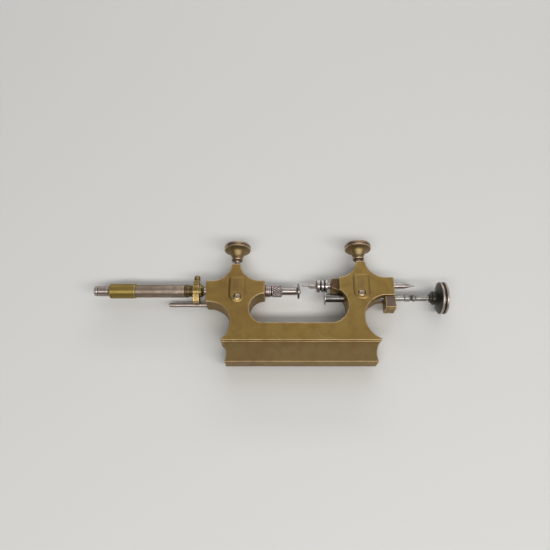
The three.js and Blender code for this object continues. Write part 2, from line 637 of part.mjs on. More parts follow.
const leftShoe = SPINDLE_Y + SPINDLE.r + GAP
const rightShoe = TURNING_Y + RUNNER.r + GAP
const leftClamp = clampScrew(leftShoe + CLAMP.shoe + GAP, CLAMP.headTopLeft)
const rightClamp = clampScrew(rightShoe + CLAMP.shoe + GAP, CLAMP.headTopRight)
place('left_clamp_shoe', clampShoe(leftShoe), WORN_STEEL, LEFT_HEAD.x, 0, -AXIS_DEPTH)
place('right_clamp_shoe', clampShoe(rightShoe), WORN_STEEL, RIGHT_HEAD.x, 0, -AXIS_DEPTH)
place('left_clamp_screw', leftClamp, BRIGHT_BRASS, LEFT_HEAD.x, 0, -AXIS_DEPTH)
place('right_clamp_screw', rightClamp, BRIGHT_BRASS, RIGHT_HEAD.x, 0, -AXIS_DEPTH)

place('spindle_rod', spindleRod(), WORN_STEEL, 0, SPINDLE_Y, -AXIS_DEPTH)
place('spindle_tube', spindleTube(), WORN_STEEL, 0, SPINDLE_Y, -AXIS_DEPTH)
place('spindle_sleeve', spindleSleeve(), BRIGHT_BRASS, 0, SPINDLE_Y, -AXIS_DEPTH)
place('spindle_end_cap', endCap(), WORN_STEEL, 0, SPINDLE_Y, -AXIS_DEPTH)
place('spindle_end_ring', endRing(), DARK_STEEL, 0, SPINDLE_Y, -AXIS_DEPTH)
place('spindle_ferrule', spindleFerrule(), BRIGHT_BRASS, 0, SPINDLE_Y, -AXIS_DEPTH)
place('guide_arm', guideArm(), AGED_BRASS)
place('arm_hub', armHub(), BRIGHT_BRASS, 0, SPINDLE_Y, -AXIS_DEPTH)
place('arm_clamp_screw', armClampScrew(), AGED_BRASS, ARM_SCREW.x, 0, -AXIS_DEPTH)
place('chuck_collar', chuckCollar(), WORN_STEEL, 0, SPINDLE_Y, -AXIS_DEPTH)
place('lantern_disc', lanternDisc(), BRIGHT_STEEL, 0, SPINDLE_Y, -AXIS_DEPTH)
place('lantern_screw', lanternScrew(), BRIGHT_STEEL, 0, SPINDLE_Y, -AXIS_DEPTH)

place('centre_runner', centreRunner(), BRIGHT_STEEL, 0, TURNING_Y, -AXIS_DEPTH)
place('runner_bush', runnerBush(), WORN_STEEL, 0, TURNING_Y, -AXIS_DEPTH)
place('carrier_ferrule', carrierFerrule(), BRIGHT_STEEL, 0, TURNING_Y, -AXIS_DEPTH)
place('driver_pin', driverPin(), DARK_STEEL, 0, TURNING_Y + DRIVER_PIN.y, DRIVER_PIN.z - AXIS_DEPTH)
place('ferrule_catch', ferruleCatch(), BRIGHT_STEEL, 0, TURNING_Y, -AXIS_DEPTH)

place('drive_disc', driveDisc(), BRIGHT_STEEL, 0, DRIVE_Y, -AXIS_DEPTH)
place('drive_shaft', driveShaft(), DARK_STEEL, 0, DRIVE_Y, -AXIS_DEPTH)
place('drive_wheel', driveWheel(), BLACKENED, 0, DRIVE_Y, -AXIS_DEPTH)
place('drive_wheel_screw', wheelScrew(), DARK_STEEL, 0, DRIVE_Y, -AXIS_DEPTH)
place('bearing_block', bearingBlock(), AGED_BRASS)
BLOCK_SCREW.depths.forEach((depth, i) => {
  place(`bearing_block_screw_${i + 1}`, blockScrew(), WORN_STEEL, BLOCK_SCREW.x, 0, -depth)
})

const group = new THREE.Group()
group.add(tool)

export default group
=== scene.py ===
"""Looks for a watchmaker's pivot tool: a brass frame with two clamp heads, a sliding lantern
spindle on the left, and a dead centre with a driven ferrule on the right.
"""

import math
from types import SimpleNamespace as Sizes

import bmesh
import bpy
from mathutils import Matrix, Vector


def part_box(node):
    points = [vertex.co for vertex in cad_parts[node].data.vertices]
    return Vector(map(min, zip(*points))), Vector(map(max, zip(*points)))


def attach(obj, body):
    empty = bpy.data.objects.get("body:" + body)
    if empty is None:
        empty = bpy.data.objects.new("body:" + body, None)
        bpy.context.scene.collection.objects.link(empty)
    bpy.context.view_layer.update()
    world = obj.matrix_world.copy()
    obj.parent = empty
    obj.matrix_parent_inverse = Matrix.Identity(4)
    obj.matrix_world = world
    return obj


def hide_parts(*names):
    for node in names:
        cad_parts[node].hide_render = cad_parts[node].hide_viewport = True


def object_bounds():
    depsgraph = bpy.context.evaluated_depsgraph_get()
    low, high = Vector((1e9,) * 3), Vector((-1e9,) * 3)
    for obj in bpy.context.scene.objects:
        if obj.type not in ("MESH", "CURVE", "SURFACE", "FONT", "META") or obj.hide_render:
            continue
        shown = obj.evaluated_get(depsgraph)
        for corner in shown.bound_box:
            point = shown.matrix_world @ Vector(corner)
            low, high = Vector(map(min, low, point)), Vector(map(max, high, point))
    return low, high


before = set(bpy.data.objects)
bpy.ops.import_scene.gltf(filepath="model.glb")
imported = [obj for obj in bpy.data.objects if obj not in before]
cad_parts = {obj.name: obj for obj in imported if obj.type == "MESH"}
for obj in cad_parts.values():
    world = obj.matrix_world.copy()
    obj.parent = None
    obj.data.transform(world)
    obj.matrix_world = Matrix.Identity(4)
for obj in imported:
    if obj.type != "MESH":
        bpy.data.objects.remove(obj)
CAD_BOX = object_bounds()

# ---- dimensions of the tool (mm) ----
MM = 0.001
SEAM = 0.06  # between seated pieces
PLAY = 0.1  # round what turns or slides
THICKNESS = 15
AXIS = -THICKNESS / 2

TENON = Sizes(half=46.5, shoulder=48.4, waist=43.75, waist_y=6.4, top=12.8, inset=1.8)
LEDGE_HALF = 49.5
BAR_TOP = 24.4
LEFT = Sizes(
    x=-40.9, outer_end=-59.8, inner_end=-22.4, ear_top=52.3, stem_top=64.1,
    outer_bottom=37.9, outer_arc=(-57.5, 13.5), inner_bottom=43.4, inner_arc=(-22.4, 9.7))
RIGHT = Sizes(
    x=39.2, outer_end=59.5, inner_end=20.05, ear_top=54.8, stem_top=66.2,
    outer_bottom=42.4, outer_arc=(54.4, 14.6), inner_bottom=48.3, inner_arc=(17.6, 12.1))
HEADS = {"left": LEFT, "right": RIGHT}
UPPER_ARC_OFFSET = 15.2
UPPER_ARC_R = 12.4
EAR_ROUND = 1.2
RECESS_END = 24.6
RECESS_DEPTH = 2.2
PLATE_CORNER = 2.6
EDGE = 0.55
WELD = 0.002
SAME = 1e-4
FACING = 0.95  # the least Z of a normal that counts as facing along Z

SPIGOT_R = 3.35
SOCKET_R = 2.3
STUB_R = 1.6
PIVOT_R = 0.7
ARM_SCREW_R = 1.15
PLATE_SCREW_R = 1
SHANK_R = 1.75
CENTRE_NECK_R = 1.05
BUSH_R = 1.75
HUB_R = 2.7
SHAFT_R = 2
JOURNAL_R = 1.2
BLOCK_SCREW_R = 0.6
BLOCK_SCREW_SEAT = 36

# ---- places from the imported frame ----
FRAME_LOW, FRAME_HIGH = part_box("frame")
ORIGIN = Vector((FRAME_LOW.x - LEFT.outer_end * MM, FRAME_LOW.y, FRAME_HIGH.z))
TO_ROW = Matrix.Translation(ORIGIN) @ Matrix.Scale(MM, 4)


def size(node):
    """A CAD node's lowest and highest corner in tool coordinates."""
    low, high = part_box(node)
    return (low - ORIGIN) / MM, (high - ORIGIN) / MM


def along_x(node):
    """The left end, right end and radius of a node turned about an axis along X."""
    low, high = size(node)
    return low.x, high.x, (high.y - low.y) / 2


def along_y(node):
    """The lower end, upper end and radius of a node turned about an axis along Y."""
    low, high = size(node)
    return low.y, high.y, (high.x - low.x) / 2


def middle(node):
    low, high = size(node)
    return (low + high) / 2


SPINDLE_Y = middle("spindle_rod").y
TURNING_Y = middle("centre_runner").y
DRIVE_Y = middle("drive_shaft").y
SPINDLE_R = along_x("spindle_rod")[2]
RUNNER_R = along_x("centre_runner")[2]

SIDES = 96
SMALL_SIDES = 48
TINY_SIDES = 24
ARC_STEP = math.radians(3)
QUARTER = math.pi / 2


# ---- mesh helpers ----
def link(name, mesh):
    made = bpy.data.objects.new(name, mesh)
    bpy.context.scene.collection.objects.link(made)
    return made


def solid(name, shape):
    """Makes an object of a closed bmesh, its faces turned outwards."""
    bmesh.ops.recalc_face_normals(shape, faces=shape.faces)
    mesh = bpy.data.meshes.new(name)
    shape.to_mesh(mesh)
    shape.free()
    return link(name, mesh)


def bake(obj):
    """Replaces an object's mesh by what its modifiers make of it."""
    depsgraph = bpy.context.evaluated_depsgraph_get()
    mesh = bpy.data.meshes.new_from_object(obj.evaluated_get(depsgraph))
    obj.modifiers.clear()
    obj.data = mesh


def combine(obj, others, operation):
    """Joins solids to an object, or cuts them from it, and removes them."""
    for other in others:
        modifier = obj.modifiers.new(operation, "BOOLEAN")
        modifier.operation = operation
        modifier.solver = "EXACT"
        modifier.object = other
        bake(obj)
        bpy.data.objects.remove(other)


def cut(obj, *cutters):
    combine(obj, cutters, "DIFFERENCE")


def join(obj, *others):
    combine(obj, others, "UNION")


def bevel(obj, width, limit=35):
    """Welds the short edges that a cut leaves, then rounds every edge sharper than the limit."""
    shape = bmesh.new()
    shape.from_mesh(obj.data)
    bmesh.ops.remove_doubles(shape, verts=shape.verts, dist=WELD)
    bmesh.ops.dissolve_degenerate(shape, edges=shape.edges, dist=WELD)
    shape.to_mesh(obj.data)
    shape.free()
    modifier = obj.modifiers.new("edges", "BEVEL")
    modifier.width = width
    modifier.segments = 3
    modifier.limit_method = "ANGLE"
    modifier.angle_limit = math.radians(limit)
    modifier.use_clamp_overlap = False
    modifier.miter_outer = "MITER_ARC"
    bake(obj)


def arc(centre_x, centre_y, radius, start, end):
    """Points on an arc from one angle to another, either way round."""
    steps = max(2, math.ceil(abs(end - start) / ARC_STEP))
    angles = [start + (end - start) * i / steps for i in range(steps + 1)]
    return [(centre_x + radius * math.cos(a), centre_y + radius * math.sin(a)) for a in angles]


def curve(start, control, end, steps):
    """Points on a quadratic curve."""
    start, control, end = Vector(start), Vector(control), Vector(end)
    return [start * (1 - t) ** 2 + control * 2 * t * (1 - t) + end * t * t
            for t in (i / steps for i in range(steps + 1))]


def loft(name, levels, place=lambda u, v, w: (u, v, w)):
    """Outlines with the same number of points, each at its own level, joined into one solid.
    place() turns a point of an outline and its level into X, Y and Z."""
    shape = bmesh.new()
    rings = [[shape.verts.new(place(u, v, w)) for u, v in outline] for outline, w in levels]
    shape.faces.new(rings[0])
    shape.faces.new(reversed(rings[-1]))
    count = len(rings[0])
    for low, high in zip(rings, rings[1:]):
        for i in range(count):
            k = (i + 1) % count
            shape.faces.new((low[i], high[i], high[k], low[k]))
    return solid(name, shape)


def slab(name, outline, low, high, *place):
    """An outline filled between two levels, less the points that the next one repeats."""
    points = [point for point, after in zip(outline, outline[1:] + outline[:1])
              if math.dist(point, after) > SAME]
    return loft(name, [(points, low), (points, high)], *place)


def slab_x(name, outline, left, right):
    """An outline in depth and Y, filled between two stations along X."""
    return slab(name, outline, left, right, lambda depth, y, x: (x, y, -depth))


def block(low, high):
    """A box between two corners, used as a cutter."""
    (x0, y0, z0), (x1, y1, z1) = low, high
    return slab("cutter", [(x0, y0), (x1, y0), (x1, y1), (x0, y1)], z0, z1)


def rounded(profile):
    """A profile of (station, radius[, rounding]) with the corners between its ends rounded, each
    to less than half-way to the next."""
    corners = [Vector(point[:2]) for point in profile]
    points = corners[:1]
    for before, corner, after, (_, _, *rounding) in zip(corners, corners[1:], corners[2:], profile[1:]):
        if not any(rounding):
            points.append(corner)
            continue
        before, after = before - corner, after - corner
        reach = min(*rounding, before.length * 0.48, after.length * 0.48)
        start = corner + before.normalized() * reach
        end = corner + after.normalized() * reach
        points += curve(start, corner, end, 4)
    return points + corners[-1:]


def lathe(name, profile, bore=None, axis="x", centre=(0, 0, 0), sides=SIDES, relief=None, tone=None):
    """A turned piece: its profile is closed along a through bore, or else flat to the axis.
    relief(station, turn) gives a change of radius, and tone(station, radius) a material index.
    The mesh keeps its distance along the profile, for the turning marks, and the depth of its
    relief, for the painted shade that darkens its hollows."""
    (left, first_r), (right, last_r) = profile[0][:2], profile[-1][:2]
    if bore:
        start = ((left + right) / 2, bore, 0)
        profile = [start, (left, bore, 0.05), *profile, (right, bore, 0.05), start]
    else:
        profile = [(left, 0)] * bool(first_r) + profile + [(right, 0)] * bool(last_r)
    points = rounded(profile)
    shape = bmesh.new()
    path = shape.verts.layers.float.new("path")
    sunk = shape.verts.layers.float.new("sunk")
    centre = Vector(centre)
    travelled = 0
    rings = []
    for i, (station, radius) in enumerate(points[:-1] if bore else points):
        travelled += (points[i] - points[i - 1]).length if i else 0
        ring = []
        for k in range(sides if radius else 1):
            change = relief(station, k / sides) if relief else 0
            angle = k / sides * 2 * math.pi
            across = ((radius + change) * math.cos(angle), (radius + change) * math.sin(angle))
            place = (station, *across) if axis == "x" else (across[1], station, across[0])
            vert = shape.verts.new(centre + Vector(place))
            vert[path] = travelled
            vert[sunk] = -change
            ring.append(vert)
        rings.append(ring)
    if bore:
        rings.append(rings[0])
    for low, high, a, b in zip(rings, rings[1:], points, points[1:]):
        index = int(tone(*((a + b) / 2))) if tone else 0
        for k in range(sides):
            n = (k + 1) % sides
            corners = [low[k % len(low)], high[k % len(high)], high[n % len(high)], low[n % len(low)]]
            corners = list(dict.fromkeys(corners))
            if len(corners) > 2:
                shape.faces.new(corners).material_index = index
    return solid(name, shape)


def turned(name, y, profile, bore=None, **options):
    """A turned piece about a line along X, half-way through the frame."""
    return lathe(name, profile, bore, "x", (0, y, AXIS), **options)


def rod(low, high, radius, axis="x", centre=(0, 0, 0), sides=SMALL_SIDES):
    """A plain rod, used as a cutter."""
    return lathe("cutter", [(low, radius), (high, radius)], None, axis, centre, sides)


def rod_x(y, left, right, radius):
    """A plain rod along X, half-way through the frame."""
    return rod(left, right, radius, "x", (0, y, AXIS), SIDES)


def rod_z(x, y, low, high, radius, sides=SMALL_SIDES):
    """A plain rod along Z."""
    circle = [(x + radius * math.cos(a), y + radius * math.sin(a))
              for a in (i / sides * 2 * math.pi for i in range(sides))]
    return slab("cutter", circle, low, high)


def placed(base, *points):
    """Points of a profile whose stations are counted from a base."""
    return [(base + station, *rest) for station, *rest in points]


def groove(left, right, radius, depth, slope, outer, inner):
    """Points of a groove, or of a rib when its depth is negative, with its outer and inner rounding."""
    return [(left, radius, outer), (left + slope, radius - depth, inner),
            (right - slope, radius - depth, inner), (right, radius, outer)]


def dense(low, high, radius, step):
    """Close stations on a cylinder, for a knurl or a thread."""
    count = max(2, round(abs(high - low) / step))
    return [(low + (high - low) * i / count, radius, 0) for i in range(count + 1)]


def wave(value):
    """A triangle wave: 1 at whole numbers and 0 half-way between them."""
    return abs(2 * (value % 1) - 1)


def knurl(low, high, around, rows, depth):
    """Crossed V grooves that leave small flat-topped diamonds."""
    def relief(station, turn):
        if not low <= station <= high:
            return 0
        along = (station - low) / (high - low) * rows
        height = min(wave(around * turn + along / 2), wave(around * turn - along / 2))
        return -depth * (1 - min(1, height * 1.5))
    return relief


def thread(low, high, pitch, depth):
    """A V thread that runs out at both ends."""
    def relief(station, turn):
        run_out = min(1, max(0, (station - low) / pitch), max(0, (high - station) / pitch))
        return -depth * run_out * (1 - wave(station / pitch - turn))
    return relief


# ---- shader helpers ----
class Value:
    """What a shader node puts out. Arithmetic with it adds Math nodes to the same tree."""

    def __init__(self, socket):
        self.socket = socket
        self.tree = socket.id_data

    def __add__(self, other):
        return maths("ADD", self, other)

    def __sub__(self, other):
        return maths("SUBTRACT", self, other)

    def __rsub__(self, other):
        return maths("SUBTRACT", other, self)

    def __mul__(self, other):
        return maths("MULTIPLY", self, other)


def feed(made, inputs):
    """Sets inputs of a node, each to a number or colour, or to what another node puts out."""
    for key, value in inputs.items():
        if isinstance(value, Value):
            value.tree.links.new(value.socket, made.inputs[key])
        else:
            made.inputs[key].default_value = value


def shader(tree, kind, inputs, output=0, **settings):
    """Adds a shader node and returns one of its outputs."""
    made = tree.nodes.new("ShaderNode" + kind)
    for key, value in settings.items():
        setattr(made, key, value)
    feed(made, inputs)
    return Value(made.outputs[output])


def maths(operation, a, b):
    tree = (a if isinstance(a, Value) else b).tree
    return shader(tree, "Math", {0: a, 1: b}, operation=operation)


def clamped(value):
    """The result of a Math node, kept between 0 and 1."""
    value.socket.node.use_clamp = True
    return value


def blend(factor, a, b, kind="MIX"):
    """Mixes a colour with another, which is a value or a plain RGB."""
    b = (*b, 1) if isinstance(b, tuple) else b
    return shader(a.tree, "Mix", {0: factor, 6: a, 7: b}, 2, data_type="RGBA", blend_type=kind)


def noise(where, scale, detail=3, roughness=0.5, distortion=0):
    inputs = {"Vector": where, "Scale": scale, "Detail": detail, "Roughness": roughness,
              "Distortion": distortion}
    return shader(where.tree, "TexNoise", inputs)


def ramp(factor, *stops):
    """A colour ramp; each stop is a position and a colour, or a position and a grey."""
    made = shader(factor.tree, "ValToRGB", {0: factor})
    elements = made.socket.node.color_ramp.elements
    while len(elements) < len(stops):
        elements.new(0.5)
    for element, (position, value) in zip(elements, stops):
        element.position = position
        element.color = (*value, 1) if isinstance(value, tuple) else (value, value, value, 1)
    return made


def stretched(where, angle, length, width):
    """Coordinates stretched along one direction, for marks that run that way."""
    inputs = {"Vector": where, "Rotation": (0, 0, math.radians(angle)), "Scale": (length, width, width)}
    return shader(where.tree, "Mapping", inputs, vector_type="TEXTURE")


def scratches(where, angle, density):
    """Thin lines that run at one angle, as a mask."""
    lines = noise(stretched(where, angle, 11, 0.4), density, 2, 0.6)
    return ramp(lines, (0.62, 0), (0.68, 1), (0.74, 0))


def metal(name, tone_1, tone_2, tone_3, stain, worn, roughness, wear, marks=0.1, pits=0.15,
          metallic=1, bump=0.5, patch=None, shelter=None):
    """A worn metal: slow drifts between tones, soft stains, rubbed edges that also carry a painted
    highlight, scratches, pits, painted shade in the corners and grooves, and turning marks where
    the mesh has a path along its profile."""
    material = bpy.data.materials.new(name)
    material.use_nodes = True
    tree = material.node_tree
    place = shader(tree, "TexCoord", {}, "Object")
    where = shader(tree, "VectorMath", {0: place, 3: 1 / MM}, operation="SCALE")
    drift = noise(where, 0.04, 3, 0.5, 0.4)
    cloud = noise(where, 0.17, 5, 0.55, 0.3)
    grain = noise(where, 4.5, 3, 0.6)
    stained = ramp(cloud, (0.34, 1), (0.58, 0))
    specks = ramp(noise(where, 1.7, 3, 0.7), (0.25, 1), (0.31, 0))
    lines = maths("MAXIMUM", scratches(where, 24, 1.1), scratches(where, -38, 0.8))
    lines = lines * ramp(drift, (0.4, 0), (0.6, 0.7 * wear))
    path = shader(tree, "Attribute", {}, "Fac", attribute_name="path")
    turning = shader(tree, "TexNoise", {"W": path, "Scale": 2.2, "Detail": 5, "Roughness": 0.7},
                     noise_dimensions="1D")

    open_sky = shader(tree, "AmbientOcclusion", {"Distance": MM}, "AO", samples=6)
    convex = ramp(open_sky, (0.72, 0), (0.92, 1)) * ramp(cloud, (0.3, 0.55), (0.6, 1))
    if shelter:
        convex = convex * shelter(where)
    bent = shader(tree, "Bevel", {"Radius": 0.85 * MM}, samples=6)
    facing = shader(tree, "NewGeometry", {}, "Normal")
    turn = 1 - shader(tree, "VectorMath", {0: bent, 1: facing}, "Value", operation="DOT_PRODUCT")
    # Rubbed convex edges: real wear, and partly a painted highlight, for the pale edge colour is made less
    # metallic so that it shows bright from every side.
    edges = clamped(turn * 22) * convex * wear
    bright = maths("MAXIMUM", edges, lines * 0.22)
    if patch:
        rubbed = patch(where)
        bright = maths("MAXIMUM", bright, rubbed * 0.08)
    # Painted shade: darker where nearby surfaces hide a point (ambient occlusion), and darker the deeper the
    # knurl and thread grooves sink, both painted towards near black.
    sunk = shader(tree, "Attribute", {}, "Fac", attribute_name="sunk")
    painted_shade = maths("MAXIMUM", ramp(open_sky, (0.3, 1), (0.8, 0)) * 0.5,
                 ramp(sunk, (0.12, 0), (0.34, 0.85)))

    colour = ramp(drift, (0.34, tone_1), (0.5, tone_2), (0.66, tone_3))
    colour = blend(stained * 0.45, colour, stain)
    colour = blend(1, colour, ramp(turning, (0.35, 1 - marks), (0.65, 1)), "MULTIPLY")
    colour = blend(specks * pits, colour, stain)
    colour = blend(bright, colour, worn)
    # The painted shade, blended towards near black.
    colour = blend(painted_shade, colour, (0.02, 0.015, 0.01))
    rough = stained * 0.08 + roughness - bright * 0.08 + painted_shade * 0.3
    height = turning * (0.6 * marks) + grain * 0.035 - lines * 0.12 - specks * (0.8 * pits)
    if patch:
        rough = rough - rubbed * 0.24
        height = height + rubbed * 0.7
    normal = shader(tree, "Bump", {"Height": height, "Strength": bump, "Distance": 0.12 * MM})
    feed(tree.nodes["Principled BSDF"], {
        "Base Color": colour, "Roughness": rough, "Normal": normal, "Metallic": metallic - edges * 0.4})
    return material


# ---- materials ----
def rubbed_patch(where):
    """The glossy, wrinkled patch that fingers and a wrench have left near one end of the handle."""
    x = shader(where.tree, "SeparateXYZ", {0: where}, "X")
    low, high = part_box("spindle_tube")
    start = (low.x * 0.35 + high.x * 0.65) / MM
    fade_in = clamped((x - start) * (1 / 5))
    fade_out = clamped((high.x / MM - x) * (1 / 1.5))
    wrinkles = noise(stretched(where, 6, 1.6, 0.6), 1, 4, 0.6, 0.8)
    return fade_in * fade_out * ramp(wrinkles, (0.47, 0), (0.6, 1))


def away_from_plates(where):
    """Low round the front plates, whose edges lie too close to the front face to be rubbed."""
    near = 0
    for side in HEADS:
        low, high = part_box(f"{side}_front_plate")
        reach = []
        for axis, a, b in (("X", low.x, high.x), ("Y", low.y, high.y)):
            along = shader(where.tree, "SeparateXYZ", {0: where}, axis)
            apart = maths("ABSOLUTE", along - (a + b) / 2 / MM, 0)
            reach.append(apart - ((b - a) / 2 / MM + 1.3))
        inside = maths("LESS_THAN", maths("MAXIMUM", *reach), 0)
        near = maths("MAXIMUM", inside, near)
    return 1 - near * 0.9


# Three tones, the colour of stains, the colour of rubbed edges (which also carries their painted highlight),
# roughness, wear, other settings.
FINISHES = {
    "aged": ((0.27, 0.168, 0.052), (0.3, 0.194, 0.058), (0.305, 0.205, 0.06), (0.225, 0.13, 0.048),
             (0.8, 0.63, 0.4), 0.44, 1, {"marks": 0.05, "shelter": away_from_plates}),
    # A darker, greyer copy of the brass for the tenon's faces: painted shade.
    "tenon": ((0.22, 0.142, 0.062), (0.24, 0.162, 0.066), (0.235, 0.165, 0.07), (0.19, 0.115, 0.05),
              (0.6, 0.43, 0.22), 0.47, 0.8, {"marks": 0.05}),
    "panel": ((0.25, 0.155, 0.06), (0.265, 0.17, 0.064), (0.275, 0.18, 0.068), (0.19, 0.12, 0.05),
              (0.5, 0.36, 0.18), 0.47, 0.3, {"marks": 0.05}),
    # A much darker copy of the brass for the floors of the recess: painted shade.
    "recess": ((0.112, 0.062, 0.037), (0.128, 0.073, 0.042), (0.124, 0.076, 0.039), (0.1, 0.055, 0.035),
               (0.5, 0.35, 0.22), 0.5, 0.5),
    # A darker, pinker copy of the brass for the front of the bearing block: painted shade.
    "block": ((0.165, 0.122, 0.105), (0.182, 0.134, 0.115), (0.188, 0.138, 0.1), (0.13, 0.09, 0.07),
              (0.74, 0.56, 0.24), 0.42, 1, {"pits": 0.3}),
    "bright": ((0.275, 0.195, 0.056), (0.295, 0.218, 0.061), (0.29, 0.21, 0.058), (0.26, 0.17, 0.05),
               (0.8, 0.62, 0.32), 0.46, 0.8),
    "olive": ((0.225, 0.157, 0.056), (0.247, 0.175, 0.061), (0.24, 0.17, 0.058), (0.19, 0.12, 0.045),
              (0.7, 0.52, 0.26), 0.38, 0.9),
    "dull": ((0.075, 0.045, 0.021), (0.086, 0.053, 0.024), (0.082, 0.051, 0.022), (0.1, 0.065, 0.035),
             (0.6, 0.45, 0.25), 0.36, 0.7),
    "knob": ((0.29, 0.213, 0.1), (0.32, 0.236, 0.112), (0.31, 0.23, 0.104), (0.19, 0.125, 0.06),
             (0.72, 0.55, 0.36), 0.5, 0.9),
    "knob_rim": ((0.36, 0.26, 0.155), (0.4, 0.29, 0.175), (0.39, 0.285, 0.165), (0.24, 0.165, 0.1),
                 (0.78, 0.6, 0.45), 0.34, 0.8),
    "worn": ((0.34, 0.275, 0.25), (0.38, 0.31, 0.285), (0.4, 0.335, 0.305), (0.25, 0.185, 0.16),
             (0.78, 0.7, 0.66), 0.36, 0.9, {"pits": 0.3}),
    "collar": ((0.32, 0.243, 0.233), (0.35, 0.268, 0.257), (0.36, 0.276, 0.258), (0.25, 0.18, 0.16),
               (0.8, 0.72, 0.69), 0.38, 0.9),
    "screw": ((0.3, 0.22, 0.135), (0.335, 0.25, 0.155), (0.32, 0.245, 0.15), (0.17, 0.11, 0.06),
              (0.7, 0.58, 0.44), 0.32, 0.7),
    "handle": ((0.27, 0.207, 0.158), (0.3, 0.235, 0.18), (0.31, 0.242, 0.188), (0.17, 0.125, 0.09),
               (0.75, 0.68, 0.6), 0.48, 0.25, {"patch": rubbed_patch}),
    "polished": ((0.335, 0.29, 0.277), (0.368, 0.322, 0.305), (0.386, 0.341, 0.324), (0.36, 0.31, 0.29),
                 (0.85, 0.82, 0.8), 0.28, 0.6, {"marks": 0.08, "bump": 0.2}),
    "dark": ((0.15, 0.14, 0.13), (0.18, 0.17, 0.16), (0.2, 0.19, 0.18), (0.09, 0.075, 0.065),
             (0.5, 0.47, 0.44), 0.34, 0.6),
    "shaft": ((0.29, 0.28, 0.26), (0.34, 0.33, 0.31), (0.36, 0.35, 0.33), (0.11, 0.1, 0.085),
              (0.55, 0.52, 0.49), 0.42, 0.5, {"marks": 0.06, "bump": 0.2}),
    # Near-black, for the bottoms of narrow grooves: painted shade.
    "groove": ((0.05, 0.045, 0.04), (0.06, 0.055, 0.05), (0.07, 0.062, 0.055), (0.03, 0.025, 0.02),
               (0.2, 0.18, 0.16), 0.35, 0.4),
    "black": ((0.032, 0.028, 0.022), (0.038, 0.033, 0.026), (0.043, 0.038, 0.03), (0.03, 0.024, 0.016),
              (0.12, 0.1, 0.08), 0.33, 0.4, {"metallic": 0.6}),
    "rim": ((0.32, 0.265, 0.225), (0.355, 0.295, 0.25), (0.37, 0.305, 0.26), (0.24, 0.18, 0.15),
            (0.62, 0.54, 0.48), 0.48, 0.8),
}
MATERIALS = {name: metal(f"{name}_metal", *looks[:7], **dict(*looks[7:]))
             for name, looks in FINISHES.items()}


def finish(obj, body, materials, node):
    """Puts a piece in the row frame, gives it its materials, and ties it to the frame in place of
    a CAD node. Booleans may have left empty material slots, which are filled in place."""
    obj.data.transform(TO_ROW)
    names = materials.split()
    slots = obj.data.materials
    while len(slots) < len(names):
        slots.append(None)
    for i, name in enumerate(names):
        slots[i] = MATERIALS[name]
    obj.data.shade_smooth()
    obj.data.set_sharp_from_angle(angle=math.radians(40))
    weighted = obj.modifiers.new("normals", "WEIGHTED_NORMAL")
    weighted.keep_sharp = True
    weighted.weight = 60
    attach(obj, body)
    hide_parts(node)


# ---- frame ----
def angle_at_height(centre_y, radius, y, sign):
    return math.atan2(y - centre_y, sign * math.sqrt(radius * radius - (y - centre_y) ** 2))


def angle_at_x(centre_x, radius, x, sign):
    return math.atan2(sign * math.sqrt(radius * radius - (x - centre_x) ** 2), x - centre_x)


def upper_arcs(head):
    """A head's outline above its ears: a hollow arc up to the stem, across it and down again."""
    arc_y = head.ear_top + UPPER_ARC_R
    rise = math.asin((head.stem_top - arc_y) / UPPER_ARC_R)
    left = arc(head.x - UPPER_ARC_OFFSET, arc_y, UPPER_ARC_R, -QUARTER, rise)
    right = arc(head.x + UPPER_ARC_OFFSET, arc_y, UPPER_ARC_R, math.pi - rise, 3 * QUARTER)
    return left + right


def frame_outline():
    (lo_x, lo_r), (li_x, li_r) = LEFT.outer_arc, LEFT.inner_arc
    (ro_x, ro_r), (ri_x, ri_r) = RIGHT.outer_arc, RIGHT.inner_arc
    lo_y, li_y = LEFT.outer_bottom - lo_r, LEFT.inner_bottom - li_r
    ro_y, ri_y = RIGHT.outer_bottom - ro_r, RIGHT.inner_bottom - ri_r
    left_tip = angle_at_x(lo_x, lo_r, -LEDGE_HALF, -1)
    right_tip = angle_at_x(ro_x, ro_r, LEDGE_HALF, -1) + 2 * math.pi
    left_foot = angle_at_height(li_y, li_r, BAR_TOP, -1) + 2 * math.pi
    right_foot = angle_at_height(ri_y, ri_r, BAR_TOP, 1)
    right_ear = angle_at_x(ri_x, ri_r, RIGHT.inner_end, 1)
    return [
        (-TENON.shoulder, TENON.top),
        *arc(lo_x, lo_y, lo_r, left_tip, QUARTER),
        *arc(LEFT.outer_end + EAR_ROUND, LEFT.outer_bottom + EAR_ROUND, EAR_ROUND, -QUARTER, -math.pi),
        (LEFT.outer_end, LEFT.ear_top),
        *upper_arcs(LEFT),
        (LEFT.inner_end, LEFT.ear_top),
        *arc(li_x, li_y, li_r, QUARTER, left_foot),
        *arc(ri_x, ri_y, ri_r, right_foot, right_ear),
        (RIGHT.inner_end, RIGHT.ear_top),
        *upper_arcs(RIGHT),
        (RIGHT.outer_end, RIGHT.ear_top),
        (RIGHT.outer_end, RIGHT.outer_bottom),
        *arc(ro_x, ro_y, ro_r, QUARTER, right_tip),
        (TENON.shoulder, TENON.top),
    ]


def tenon_outline():
    """The tenon under the ledge, with its hollow ends, and a neck that goes up into the frame."""
    right = curve((TENON.half, 0), (TENON.waist, TENON.waist_y), (TENON.shoulder, TENON.top), 14)
    left = [(-x, y) for x, y in reversed(right)]
    neck_top = TENON.top + 1
    return [*right, (TENON.waist, neck_top), (-TENON.waist, neck_top), *left]


def plate_outline(node, margin):
    """A plate with rounded top corners and a half-round foot, grown outwards by a margin."""
    low, high = size(node)
    x = (low.x + high.x) / 2
    half = (high.x - low.x) / 2 + margin
    corner = PLATE_CORNER + margin
    top = high.y + margin
    foot_y = low.y + (high.x - low.x) / 2
    return [
        *arc(x + half - corner, top - corner, corner, 0, QUARTER),
        *arc(x - half + corner, top - corner, corner, QUARTER, math.pi),
        *arc(x, foot_y, half, math.pi, 2 * math.pi),
    ]


